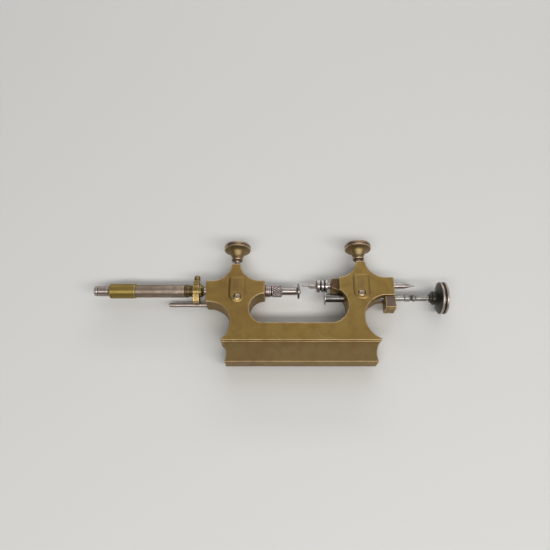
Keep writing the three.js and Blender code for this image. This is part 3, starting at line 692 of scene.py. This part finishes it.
def frame_cutters():
    """Everything that is bored, milled or recessed in the frame. The wider bore of the turning
    axis starts a little early, because the bevel fills the inner corner of its step."""
    collar_left = along_x("chuck_collar")[0]
    bush_right = along_x("runner_bush")[1]
    guide = middle("guide_rod")
    guide_right, guide_r = along_x("guide_rod")[1:]
    hub_right = along_x("drive_disc")[1]
    left_start, left_end = LEFT.outer_end - 1, LEFT.inner_end + 1
    right_start, right_end = RIGHT.inner_end - 1, RIGHT.outer_end + 1
    recess_bottom, recess_top = RIGHT.inner_bottom - 3, RIGHT.ear_top + 1
    cutters = [
        rod_x(SPINDLE_Y, left_start, left_end, SPINDLE_R + PLAY),
        rod_x(SPINDLE_Y, collar_left - PLAY, left_end, SPIGOT_R + PLAY),
        rod(left_start, guide_right + PLAY, guide_r + SEAM, "x", (0, guide.y, guide.z)),
        rod_x(TURNING_Y, right_start, right_end, BUSH_R + PLAY),
        rod_x(TURNING_Y, bush_right - EDGE, right_end, RUNNER_R + PLAY),
        rod_x(DRIVE_Y, right_start, hub_right + PLAY, HUB_R + PLAY),
        rod_x(DRIVE_Y, hub_right, right_end, SHAFT_R + PLAY),
        block((right_start, recess_bottom, -RECESS_DEPTH), (RECESS_END, recess_top, 1)),
        block((right_start, recess_bottom, -THICKNESS - 1),
              (RECESS_END, recess_top, RECESS_DEPTH - THICKNESS)),
    ]
    for head, bottom in ((LEFT, SPINDLE_Y), (RIGHT, TURNING_Y)):
        cutters.append(rod(bottom, head.stem_top + 1, SHANK_R + PLAY, "y", (head.x, 0, AXIS)))
    for i in (1, 2):
        node = f"bearing_block_screw_{i}"
        x, _, z = middle(node)
        tip = along_y(node)[1]
        cutters.append(rod(RIGHT.outer_bottom - 1, tip + PLAY, BLOCK_SCREW_R + PLAY, "y", (x, 0, z)))
    return cutters


def plate_cutters():
    """The sharp-edged pockets that the front plates lie in, and the holes for their screws."""
    cutters = []
    for side in HEADS:
        node = f"{side}_front_plate"
        cutters.append(slab("pocket", plate_outline(node, SEAM), size(node)[0].z - SEAM, 1))
        screw, tip = middle(f"{side}_plate_screw"), size(f"{side}_plate_screw")[0].z
        cutters.append(rod_z(screw.x, screw.y, tip - PLAY, 0, PLATE_SCREW_R + PLAY))
    return cutters


def build_frame():
    """The frame. The floors of its recess take the second material and the tenon's faces the third; both are
    darker copies of the brass that paint shade there.
    """
    body = slab("frame_body", frame_outline(), -THICKNESS, 0)
    join(body, slab("tenon", tenon_outline(), TENON.inset - THICKNESS, -TENON.inset))
    cut(body, *frame_cutters())
    bevel(body, EDGE)
    cut(body, *plate_cutters())
    for face in body.data.polygons:
        at = face.center
        if abs(face.normal.z) < FACING:
            continue
        if RIGHT.inner_end - 1 < at.x < RECESS_END + SEAM and at.y > BAR_TOP + 10:
            face.material_index = 1
        elif at.y < TENON.top:
            face.material_index = 2
    finish(body, "frame", "aged recess tenon", "frame")


def build_front_plate(side):
    """A cover plate: a broad chamfer all round, a faint plain panel, and a seat for its screw."""
    node = f"{side}_front_plate"
    low, high = size(node)
    screw = middle(f"{side}_plate_screw")
    head_r = along_x(f"{side}_plate_screw")[1] - screw.x
    rim, chamfer = 0.12, 1.6
    plate = loft(f"{side}_cover_plate", [
        (plate_outline(node, 0), low.z), (plate_outline(node, 0), rim),
        (plate_outline(node, -chamfer), high.z),
    ])
    cut(plate, rod_z(screw.x, screw.y, low.z - 1, high.z + 1, PLATE_SCREW_R + 0.15),
        rod_z(screw.x, screw.y, -SEAM, high.z + 1, head_r + SEAM, SIDES))
    bevel(plate, 0.14, 30)
    x, top = (low.x + high.x) / 2 - 0.8, high.y - 2.3
    left, right, foot, sunk = x - 2, x + 2, top - 8.3, high.z - 0.04
    cut(plate, block((left, foot, sunk), (right, top, high.z + 1)))
    for face in plate.data.polygons:
        at = face.center
        if left < at.x < right and foot < at.y < top and abs(at.z - sunk) < 0.01:
            face.material_index = 1
    finish(plate, "frame", "aged panel", node)


def build_plate_screw(side):
    """A domed, slotted head that stands a little out of its seat."""
    node = f"{side}_plate_screw"
    low, high = size(node)
    x, y, _ = middle(node)
    head_r = (high.x - low.x) / 2
    screw = lathe(f"{side}_cover_screw", [
        (low.z, 0.8, 0), (low.z + 0.3, PLATE_SCREW_R, 0), (0, PLATE_SCREW_R, 0), (0, head_r, 0.1),
        (high.z - 0.7, head_r, 0.3), (high.z - 0.15, head_r * 0.55, 0.9), (high.z, 0),
    ], axis="y")
    seat = Matrix.Translation((x, y, 0))
    screw.data.transform(seat @ Matrix.Rotation(QUARTER, 4, "X"))
    slot = block((-3, -0.32, high.z - 0.55), (3, 0.32, high.z + 1))
    slot.data.transform(seat @ Matrix.Rotation(math.radians(35), 4, "Z"))
    cut(screw, slot)
    finish(screw, "frame", "screw", node)


def build_guide_rod():
    left, right, radius = along_x("guide_rod")
    centre = middle("guide_rod")
    bar = lathe("guide_bar", [(left, radius, 0.7), (right, radius, 0.2)],
                centre=(0, centre.y, centre.z), sides=SMALL_SIDES)
    finish(bar, "frame", "worn", "guide_rod")


# ---- clamps ----
def build_clamp_screw(side):
    """The thumbscrew: threaded shank, bead, neck, flared bowl and a twin-rimmed dished head."""
    node = f"{side}_clamp_screw"
    tip, top, r = along_y(node)
    thread_start, thread_end, pitch = tip + 0.5, top - 11.6, 0.5
    bead, neck, rims, groove_left, groove_right = -11.15, -8.95, -3.3, -2.04, -1.46
    profile = [
        (tip, SHANK_R - 0.4, 0.12), (tip + 0.4, SHANK_R, 0),
        *dense(thread_start, thread_end, SHANK_R, pitch / 6),
        *placed(top, (-11.2, SHANK_R, 0.2), (-11.1, 2.9, 0.1), (-10.7, 3.65, 0.4), (-9.9, 3.85, 0.5),
                (-9.1, 3.5, 0.4), (-8.85, 2.95, 0.2), (-8.5, 2.95, 0.4), (-7.6, 3.9, 1.2),
                (-5.9, 4.7, 1.2), (-4.7, 5.5, 1), (-3.9, 6.8, 0.8), (-3.4, 8, 0.15),
                (-3.25, r - 0.1, 0.08), (-3.1, r, 0.12), (-2.15, r, 0.12), (-2.05, r - 0.12, 0.06),
                (-2, r - 1, 0.1), (-1.5, r - 1, 0.1), (-1.45, r - 0.12, 0.06),
                (-1.35, r, 0.12), (-0.25, r, 0.2), (0, r - 0.5, 0.2), (0, r - 1.1, 0.25),
                (-0.75, r - 1.9, 0.4), (-0.85, 3.4, 0.5), (-0.35, 2.2, 0.5), (-0.2, 0)),
    ]

    def tone(station, radius):
        """Steel shank, pale bead and rims, a near-black groove between the rims as painted shade, and brass
        elsewhere.
        """
        at = station - top
        if at < bead:
            return 1
        if at < neck or (at > rims and radius > r - 0.3):
            return 2
        return 3 if groove_left < at < groove_right and radius > r - 1.05 else 0

    made = lathe(f"{side}_thumbscrew", profile, None, "y", (HEADS[side].x, 0, AXIS),
                 relief=thread(thread_start, thread_end, pitch, 0.22), tone=tone)
    finish(made, f"{side}_screw", "knob worn knob_rim groove", node)


def build_clamp_shoe(side):
    node = f"{side}_clamp_shoe"
    low, high, radius = along_y(node)
    finish(lathe(f"{side}_pressure_pad", [
        (low, radius, 0.3), (high, radius, 0.3), (high, 0.7, 0.1), (high - 0.15, 0),
    ], None, "y", (HEADS[side].x, 0, AXIS), SMALL_SIDES), f"{side}_shoe", "worn", node)


# ---- lantern spindle, on the left ----
def build_spindle():
    left, right, r = along_x("spindle_rod")
    screw_tip = along_x("lantern_screw")[0] - PLAY
    pin_hole = PIVOT_R + PLAY
    finish(turned("lantern_spindle", SPINDLE_Y, [
        (left, r, 0.2), *groove(right - 1.2, right - 0.6, r, 0.18, 0.15, 0.1, 0.08),
        (right, r - 0.15, 0.25), (right, pin_hole, 0.05), (screw_tip, pin_hole, 0), (screw_tip, 0),
    ]), "spindle", "polished", "spindle_rod")

    tube_left, tube_right, tube_r = along_x("spindle_tube")
    sleeve_left, sleeve_right, sleeve_r = along_x("spindle_sleeve")
    step = sleeve_right + SEAM
    socket = left - PLAY
    finish(turned("handle_tube", SPINDLE_Y, [
        (tube_left, SOCKET_R, 0.1), (step, SOCKET_R, 0.1), (step, tube_r, 0.15),
        (tube_right, tube_r, 0.45), (tube_right, r + SEAM, 0.1), (socket, r + SEAM, 0), (socket, 0),
    ]), "spindle", "handle", "spindle_tube")
    finish(turned("handle_sleeve", SPINDLE_Y, [
        (sleeve_left, 3.7, 0.15), (sleeve_left + 0.75, sleeve_r, 0.35), (sleeve_right, sleeve_r, 0.12),
    ], SOCKET_R + SEAM), "spindle", "bright", "spindle_sleeve")

    cap_left, cap_right, cap_r = along_x("spindle_end_cap")
    ring_left, ring_right, ring_r = along_x("spindle_end_ring")
    shoulder = sleeve_left - SEAM
    face = ring_right + 0.3
    finish(turned("handle_end_cap", SPINDLE_Y, [
        (cap_left, STUB_R, 0.1), (face, STUB_R, 0.1), (face, cap_r, 0.4),
        *groove(shoulder - 0.9, shoulder - 0.3, cap_r, 0.35, 0.15, 0.1, 0.1),
        (shoulder, cap_r, 0.12), (shoulder, 2.2, 0.1), (cap_right, 2.2, 0.1),
    ]), "spindle", "worn", "spindle_end_cap")
    finish(turned("handle_end_ring", SPINDLE_Y, [
        (ring_left, ring_r - 0.35, 0.2), (ring_left + 0.55, ring_r, 0.2),
        *groove(ring_left + 0.8, ring_left + 1.4, ring_r, 0.3, 0.15, 0.1, 0.1),
        (ring_right, ring_r, 0.25),
    ], STUB_R + SEAM), "spindle", "worn", "spindle_end_ring")

    screw_left, screw_right, head_r = along_x("lantern_screw")
    neck = along_x("lantern_disc")[1] + SEAM
    finish(turned("lantern_pin", SPINDLE_Y, [
        (screw_left, PIVOT_R, 0.1), (neck, PIVOT_R, 0.05), (neck, head_r, 0.08),
        (screw_right, head_r - 0.2, 0.3),
    ], sides=SMALL_SIDES), "spindle", "polished", "lantern_screw")


def build_lantern_disc():
    """The thin disc with its ring of pivot holes of growing size."""
    left, right, r = along_x("lantern_disc")
    holes = 8
    circle = TURNING_Y - SPINDLE_Y
    disc = turned("lantern_plate", SPINDLE_Y, [
        (left, r - 0.1, 0.06), (left + 0.15, r, 0.08), (right - 0.15, r, 0.08), (right, r - 0.1, 0.06),
    ], PIVOT_R + 0.05)
    for i in range(holes):
        angle = i / holes * 2 * math.pi
        centre = (0, SPINDLE_Y + circle * math.cos(angle), AXIS + circle * math.sin(angle))
        cut(disc, rod(left - 1, right + 1, 0.3 + 0.05 * i, "x", centre, TINY_SIDES))
    finish(disc, "lantern", "dark", "lantern_disc")


def build_collar():
    """The knurled collet nut on the inner ear."""
    spigot_left, right, r = along_x("chuck_collar")
    left = LEFT.inner_end + SEAM
    smooth_end = left + 3.6
    knurl_left, knurl_right = smooth_end + 1.25, right - 0.5
    ring_left, ring_right = smooth_end - 1.1, smooth_end - 0.75
    gap_left, gap_right = smooth_end + 0.1, smooth_end + 0.8

    # Its narrow grooves take the near-black groove finish: painted shade.
    def tone(station, radius):
        in_groove = ring_left < station < ring_right or gap_left < station < gap_right
        return radius < r - 0.2 and in_groove

    collar = turned("knurled_collar", SPINDLE_Y, [
        (spigot_left, SPIGOT_R, 0.2), (left, SPIGOT_R, 0.1), (left, r - 0.25, 0.1), (left + 0.25, r, 0.15),
        *groove(ring_left, ring_right, r, 0.3, 0.05, 0.08, 0.05),
        *placed(smooth_end, (0, r, 0.15), (0.15, r - 0.5, 0.1), (0.65, r - 0.5, 0.1), (0.85, r - 0.05, 0.1)),
        *dense(knurl_left - 0.3, knurl_right + 0.1, r, 0.07),
        (right - 0.15, r - 0.3, 0.1), (right, r - 0.6, 0.15), (right, SPINDLE_R + 0.45, 0.1),
        (right - 0.3, SPINDLE_R + PLAY, 0),
    ], SPINDLE_R + PLAY, sides=360, relief=knurl(knurl_left, knurl_right, 15, 5, 0.36), tone=tone)
    finish(collar, "collar", "collar groove", "chuck_collar")


def build_arm():
    """The guide arm: a bar with a round boss and a fork over the guide rod, with its two hubs."""
    (left, bottom, _), (right, top, _) = size("guide_arm")
    guide = middle("guide_rod")
    slot_r = along_x("guide_rod")[2] + PLAY
    depth = -guide.z
    bar_front, bar_rear = 4, 11
    prong_front, prong_rear = 6.2, 14.7
    arm = slab_x("spindle_arm", [
        (bar_front, top), (bar_front, SPINDLE_Y - 4), (prong_front, guide.y + 0.6),
        (prong_front, bottom), (depth - slot_r, bottom),
        *arc(depth, guide.y + 0.8, slot_r, math.pi, 0),
        (depth + slot_r, bottom), (prong_rear, bottom), (prong_rear, guide.y + 2.6),
        (bar_rear, SPINDLE_Y - 2), (bar_rear, top),
    ], left, right)
    join(arm, rod_x(SPINDLE_Y, left, right, 5))
    x = middle("arm_clamp_screw").x
    cut(arm, rod_x(SPINDLE_Y, left - 1, right + 1, SPINDLE_R + SEAM),
        rod(SPINDLE_Y, top + 1, ARM_SCREW_R + SEAM, "y", (x, 0, AXIS)))
    bevel(arm, 0.28)
    finish(arm, "guide_carriage", "olive", "guide_arm")

    tip, screw_top, head_r = along_y("arm_clamp_screw")
    neck = top + SEAM
    screw = lathe("arm_screw", [
        (tip, 0.9, 0.1), (tip + 0.3, ARM_SCREW_R, 0.1), (neck, ARM_SCREW_R, 0),
        (neck, head_r - 0.15, 0.1), (neck + 0.5, head_r, 0.2),
        *groove(neck + 2.6, neck + 3.15, head_r, 0.2, 0.15, 0.1, 0.08),
        (screw_top - 0.5, head_r, 0.3), (screw_top, head_r - 0.6, 0.2),
    ], None, "y", (x, 0, AXIS), SMALL_SIDES)
    cut(screw, block((x - 3, screw_top - 0.8, AXIS - 0.35), (x + 3, screw_top + 1, AXIS + 0.35)))
    finish(screw, "guide_carriage", "olive", "arm_clamp_screw")

    hub_right, hub_r = along_x("arm_hub")[1:]
    hub_left = right + SEAM
    finish(turned("arm_cone", SPINDLE_Y, [
        (hub_left, hub_r, 0.1), (hub_left + 0.9, hub_r, 0.5), (hub_left + 1.8, hub_r - 0.6, 0.4),
        (hub_right, SPINDLE_R + 0.35, 0.12),
    ], SPINDLE_R + SEAM), "guide_carriage", "olive", "arm_hub")
    sleeve_left, _, sleeve_r = along_x("spindle_ferrule")
    finish(turned("arm_sleeve", SPINDLE_Y, [
        (sleeve_left, sleeve_r, 0.2), (sleeve_left + 2, sleeve_r, 0.2),
        (sleeve_left + 2.3, sleeve_r - 0.45, 0.3), (left - SEAM, sleeve_r - 0.6, 0.1),
    ], SPINDLE_R + SEAM), "guide_carriage", "dull", "spindle_ferrule")


# ---- centre and ferrule, on the right ----
def build_centre():
    tip, end, r = along_x("centre_runner")
    bush_left, bush_right, _ = along_x("runner_bush")
    point_end, ring_left, cone_start = 5.3, 60.2, 67
    finish(turned("dead_centre", TURNING_Y, [
        (tip, 0.16, 0.05), (tip + 0.9, 0.6, 0.2), (point_end, 0.6, 0.05),
        (point_end + 0.25, CENTRE_NECK_R, 0.1), (bush_right + 0.5, CENTRE_NECK_R, 0.05),
        (bush_right + 0.6, r, 0.1), *groove(ring_left, ring_left + 0.55, r, 0.12, 0.15, 0.1, 0.05),
        (cone_start, r, 0.6), (end, 0.12, 0.05),
    ]), "centre", "polished", "centre_runner")

    rib_left, rib_right, rib_r = 18.1, 19.7, 2.3
    finish(turned("centre_bush", TURNING_Y, [
        (bush_left, BUSH_R - 0.15, 0.1), (bush_left + 0.3, BUSH_R, 0.1),
        *groove(rib_left, rib_right, BUSH_R, BUSH_R - rib_r, 0.05, 0.05, 0.15),
        (bush_right, BUSH_R, 0.1),
    ], CENTRE_NECK_R + PLAY, sides=SMALL_SIDES), "frame", "worn", "runner_bush")


def build_ferrule():
    """The ferrule that carries the work: three rims, and the groove that the drive disc runs in."""
    left, right, r = along_x("carrier_ferrule")
    groove_left, groove_right, groove_r = 15.15, 16.45, 3.5
    # Its deep grooves take the near-black groove finish: painted shade.
    ferrule = turned("work_ferrule", TURNING_Y, [
        *placed(left, (0, r - 0.5, 0.08), (0.6, r, 0.08), (2.1, r, 0.08), (2.15, 3.1, 0.06),
                (3.3, 3.1, 0.06), (3.35, r - 0.15, 0.06)),
        (groove_left, r - 0.15, 0.06), (groove_left, groove_r, 0.06), (groove_right, groove_r, 0.06),
        (groove_right, r, 0.06),
        *placed(right, (0, r, 0.08), (0, 3.4, 0.1), (-0.3, 3.2, 0.1), (-0.3, 2.4, 0.1)),
    ], BUSH_R + 0.25, tone=lambda station, radius: radius < r - 0.3 and station > left + 1)
    pin_y, pin_z = middle("driver_pin")[1:]
    pin_left, pin_right, pin_r = along_x("driver_pin")
    cut(ferrule, rod(left - 1, pin_right + SEAM, pin_r + SEAM, "x", (0, pin_y, pin_z), TINY_SIDES))
    finish(ferrule, "ferrule", "polished groove", "carrier_ferrule")

    finish(lathe("carrier_pin", [
        (pin_left, 0.25, 0.1), (pin_left + 0.3, pin_r, 0.15), (pin_right, pin_r, 0.05),
    ], centre=(0, pin_y, pin_z), sides=TINY_SIDES), "ferrule", "dark", "driver_pin")

    lean = 0.6
    catch = lathe("carrier_catch", [(0, 0.35, 0.05), (1.45, 0.35, 0.15), (1.75, 0.12, 0.05)],
                  sides=TINY_SIDES)
    start = Vector((right + 0.55, TURNING_Y - 3.55, AXIS))
    catch.data.transform(Matrix.Translation(start) @ Matrix.Rotation(-lean, 4, "Z"))
    finish(catch, "ferrule", "polished", "ferrule_catch")


# ---- drive shaft, wheel and bearing block ----
def build_drive():
    disc_left, hub_right, disc_r = along_x("drive_disc")
    disc_right = disc_left + 0.6
    finish(turned("friction_disc", DRIVE_Y, [
        (disc_left, disc_r - 0.08, 0.05), (disc_left + 0.1, disc_r, 0.06),
        (disc_right - 0.1, disc_r, 0.06), (disc_right, disc_r - 0.08, 0.05),
        (disc_right, HUB_R, 0.15), (hub_right - 0.35, HUB_R, 0.2), (hub_right, HUB_R - 0.35, 0.1),
    ], JOURNAL_R + SEAM, tone=lambda station, _: station > disc_right),
        "drive", "polished dark", "drive_disc")

    shaft_left, shaft_end, _ = along_x("drive_shaft")
    wheel_left, wheel_right, r = along_x("drive_wheel")
    shoulder, shaft_right = hub_right + SEAM, wheel_left - SEAM
    beads, bead_r, neck_r = 65.5, SHAFT_R + 0.3, 1.5
    # The necks between the beads take the near-black groove finish: painted shade.
    finish(turned("drive_spindle", DRIVE_Y, [
        (shaft_left, JOURNAL_R, 0.1), (shoulder, JOURNAL_R, 0.05), (shoulder, SHAFT_R, 0.12),
        *placed(beads, (0, SHAFT_R, 0.3), (0.4, 1.85, 0.3), (0.9, 1.85, 0.3), (1.5, bead_r, 0.8),
                (4.3, bead_r, 0.8), (4.9, 1.75, 0.3), (5.8, 1.75, 0.3), (6.4, bead_r, 0.6),
                (7.7, bead_r, 0.6), (8.3, 1.85, 0.3), (8.7, 1.85, 0.2), (8.9, SHAFT_R, 0.2),
                (15.1, SHAFT_R, 0.12), (15.3, neck_r, 0.1)),
        (shaft_right, neck_r, 0.05), (shaft_right, JOURNAL_R, 0.05), (shaft_end, JOURNAL_R, 0.1),
    ], tone=lambda station, radius: radius < 1.8 and beads < station < beads + 10),
        "drive", "shaft groove", "drive_shaft")

    screw_left, screw_top, screw_r = along_x("drive_wheel_screw")
    seat = screw_top - 1.7
    rim = wheel_right - 4.2
    bore = JOURNAL_R + SEAM
    finish(turned("hand_wheel", DRIVE_Y, [
        *placed(wheel_left, (0, 2.9, 0.12), (1.45, 3.15, 0.15), (1.5, 4.2, 0.3), (2.9, 4.4, 0.45),
                (3.1, 4, 0.15), (3.5, 4, 0.15)),
        *placed(rim, (-2.2, 4.2, 1), (-1, 5.3, 0.9), (-0.25, 8, 0.9), (0.3, r - 0.6, 0.2),
                (0.4, r - 0.1, 0.08), (0.55, r, 0.1), (1.45, r, 0.1), (1.55, r - 0.1, 0.08),
                (1.65, r - 1, 0.15), (2.8, r - 1, 0.15), (2.9, r - 0.1, 0.08), (3.05, r, 0.1),
                (3.95, r, 0.1)),
        *placed(wheel_right, (0, r - 0.25, 0.12), (0, r - 1, 0.2), (-0.9, r - 1.8, 0.4)),
        (seat - 0.2, 4.2, 0.6), (seat, 3.4, 0.3), (seat, bore + 0.1, 0.1),
    ], bore, tone=lambda _, radius: radius > r - 0.3),
        "drive", "black rim", "drive_wheel")

    neck = seat + SEAM
    screw = turned("wheel_screw", DRIVE_Y, [
        (screw_left, 1, 0.1), (neck, 1, 0.05), (neck, screw_r, 0.1),
        (screw_top - 0.4, screw_r, 0.15), (screw_top, screw_r - 0.5, 0.3),
    ], sides=SMALL_SIDES)
    cut(screw, block((screw_top - 0.6, DRIVE_Y - 0.32, AXIS - 4),
                     (screw_top + 1, DRIVE_Y + 0.32, AXIS + 4)))
    finish(screw, "drive", "dark", "drive_wheel_screw")


def build_bearing_block():
    """The block under the right outer ear; the drive shaft runs between the two."""
    low, high = size("bearing_block")
    front, rear = -high.z, -low.z
    top = RIGHT.outer_bottom - SEAM
    chamfer = 0.9
    made = slab_x("shaft_block", [
        (front, top), (front, low.y + chamfer), (front + chamfer, low.y), (rear - chamfer, low.y),
        (rear, low.y + chamfer), (rear, top),
    ], low.x, high.x)
    cut(made, rod_x(DRIVE_Y, low.x - 1, high.x + 1, SHAFT_R + PLAY))
    for i in (1, 2):
        node = f"bearing_block_screw_{i}"
        screw_low, screw_high, head_r = along_y(node)
        x, _, z = middle(node)
        centre = (x, 0, z)
        neck = BLOCK_SCREW_SEAT - SEAM
        cut(made, rod(low.y - 1, top + 1, BLOCK_SCREW_R + SEAM, "y", centre),
            rod(low.y - 1, BLOCK_SCREW_SEAT, head_r + SEAM, "y", centre))
        screw = lathe(f"block_screw_{i}", [
            (screw_low, head_r, 0.15), (neck, head_r, 0.05), (neck, BLOCK_SCREW_R, 0.05),
            (screw_high, BLOCK_SCREW_R, 0.15),
        ], None, "y", centre, SMALL_SIDES)
        cut(screw, block((x - 2, screw_low - 1, z - 0.15), (x + 2, screw_low + 0.4, z + 0.15)))
        finish(screw, "frame", "worn", node)
    bevel(made, 0.2)
    # The front faces take the darker, pinker block finish and the sides the aged brass: painted shade on the
    # front.
    for face in made.data.polygons:
        face.material_index = int(face.normal.z > FACING)
    finish(made, "frame", "aged block", "bearing_block")


# ---- camera, light and floor ----
def build_camera():
    """Above the front of the tool, looking down and a little along it."""
    data = bpy.data.cameras.new("camera")
    data.lens = 34.56
    data.sensor_width = 36
    camera = link("camera", data)
    camera.location = TO_ROW @ Vector((-16, -82.5, 307))
    camera.rotation_euler = (math.radians(24.29), 0, 0)
    bpy.context.scene.camera = camera


def area_light(name, place, width, depth, power, colour):
    """A soft rectangular light that faces the middle of the tool, its width level with the spindles."""
    data = bpy.data.lights.new(name, "AREA")
    data.shape = "RECTANGLE"
    data.size = width
    data.size_y = depth
    data.energy = power
    data.color = colour
    light = link(name, data)
    light.location = place
    behind = Vector(place).normalized()
    across = (Vector((1, 0, 0)) - behind * behind.x).normalized()
    turned_light = Matrix((across, behind.cross(across), behind)).transposed()
    light.rotation_euler = turned_light.to_euler()


def build_world():
    """A grey surround: dark near the horizon and on the left, brighter overhead and behind."""
    world = bpy.data.worlds.new("studio")
    bpy.context.scene.world = world
    world.use_nodes = True
    tree = world.node_tree
    direction = shader(tree, "TexCoord", {}, "Generated")
    height = shader(tree, "VectorMath", {0: direction, 1: (0.45, 0.3, 0.82)}, "Value",
                    operation="DOT_PRODUCT")
    sky = ramp(height, (0, 0.06), (0.45, 0.2), (0.9, 0.46))
    feed(tree.nodes["Background"], {"Color": sky})


def build_floor():
    """A sheet of pale paper, six metres wide, just under the tool."""
    mesh = bpy.data.meshes.new("floor")
    corners = (-3, -3), (3, -3), (3, 3), (-3, 3)
    mesh.from_pydata([(x, y, CAD_BOX[0].z - 0.02 * MM) for x, y in corners], [], [(0, 1, 2, 3)])
    material = bpy.data.materials.new("pale_paper")
    material.use_nodes = True
    feed(material.node_tree.nodes["Principled BSDF"], {
        "Base Color": (0.66, 0.655, 0.64, 1), "Roughness": 0.9, "Specular IOR Level": 0.1})
    mesh.materials.append(material)
    link("floor", mesh)


bpy.context.scene.view_settings.view_transform = "Standard"
build_camera()
build_world()
area_light("key", (0.2, -0.58, 0.86), 1.8, 0.2, 10.5, (1, 0.985, 0.96))
area_light("back", (0.1, 1, 0.42), 1.3, 0.16, 2.9, (1, 0.99, 0.97))
area_light("fill", (0.05, 0.6, 0.8), 0.8, 0.6, 1.3, (0.96, 0.98, 1))
build_floor()
build_frame()
for side in HEADS:
    build_front_plate(side)
    build_plate_screw(side)
    build_clamp_screw(side)
    build_clamp_shoe(side)
build_guide_rod()
build_spindle()
build_lantern_disc()
build_collar()
build_arm()
build_centre()
build_ferrule()
build_drive()
build_bearing_block()
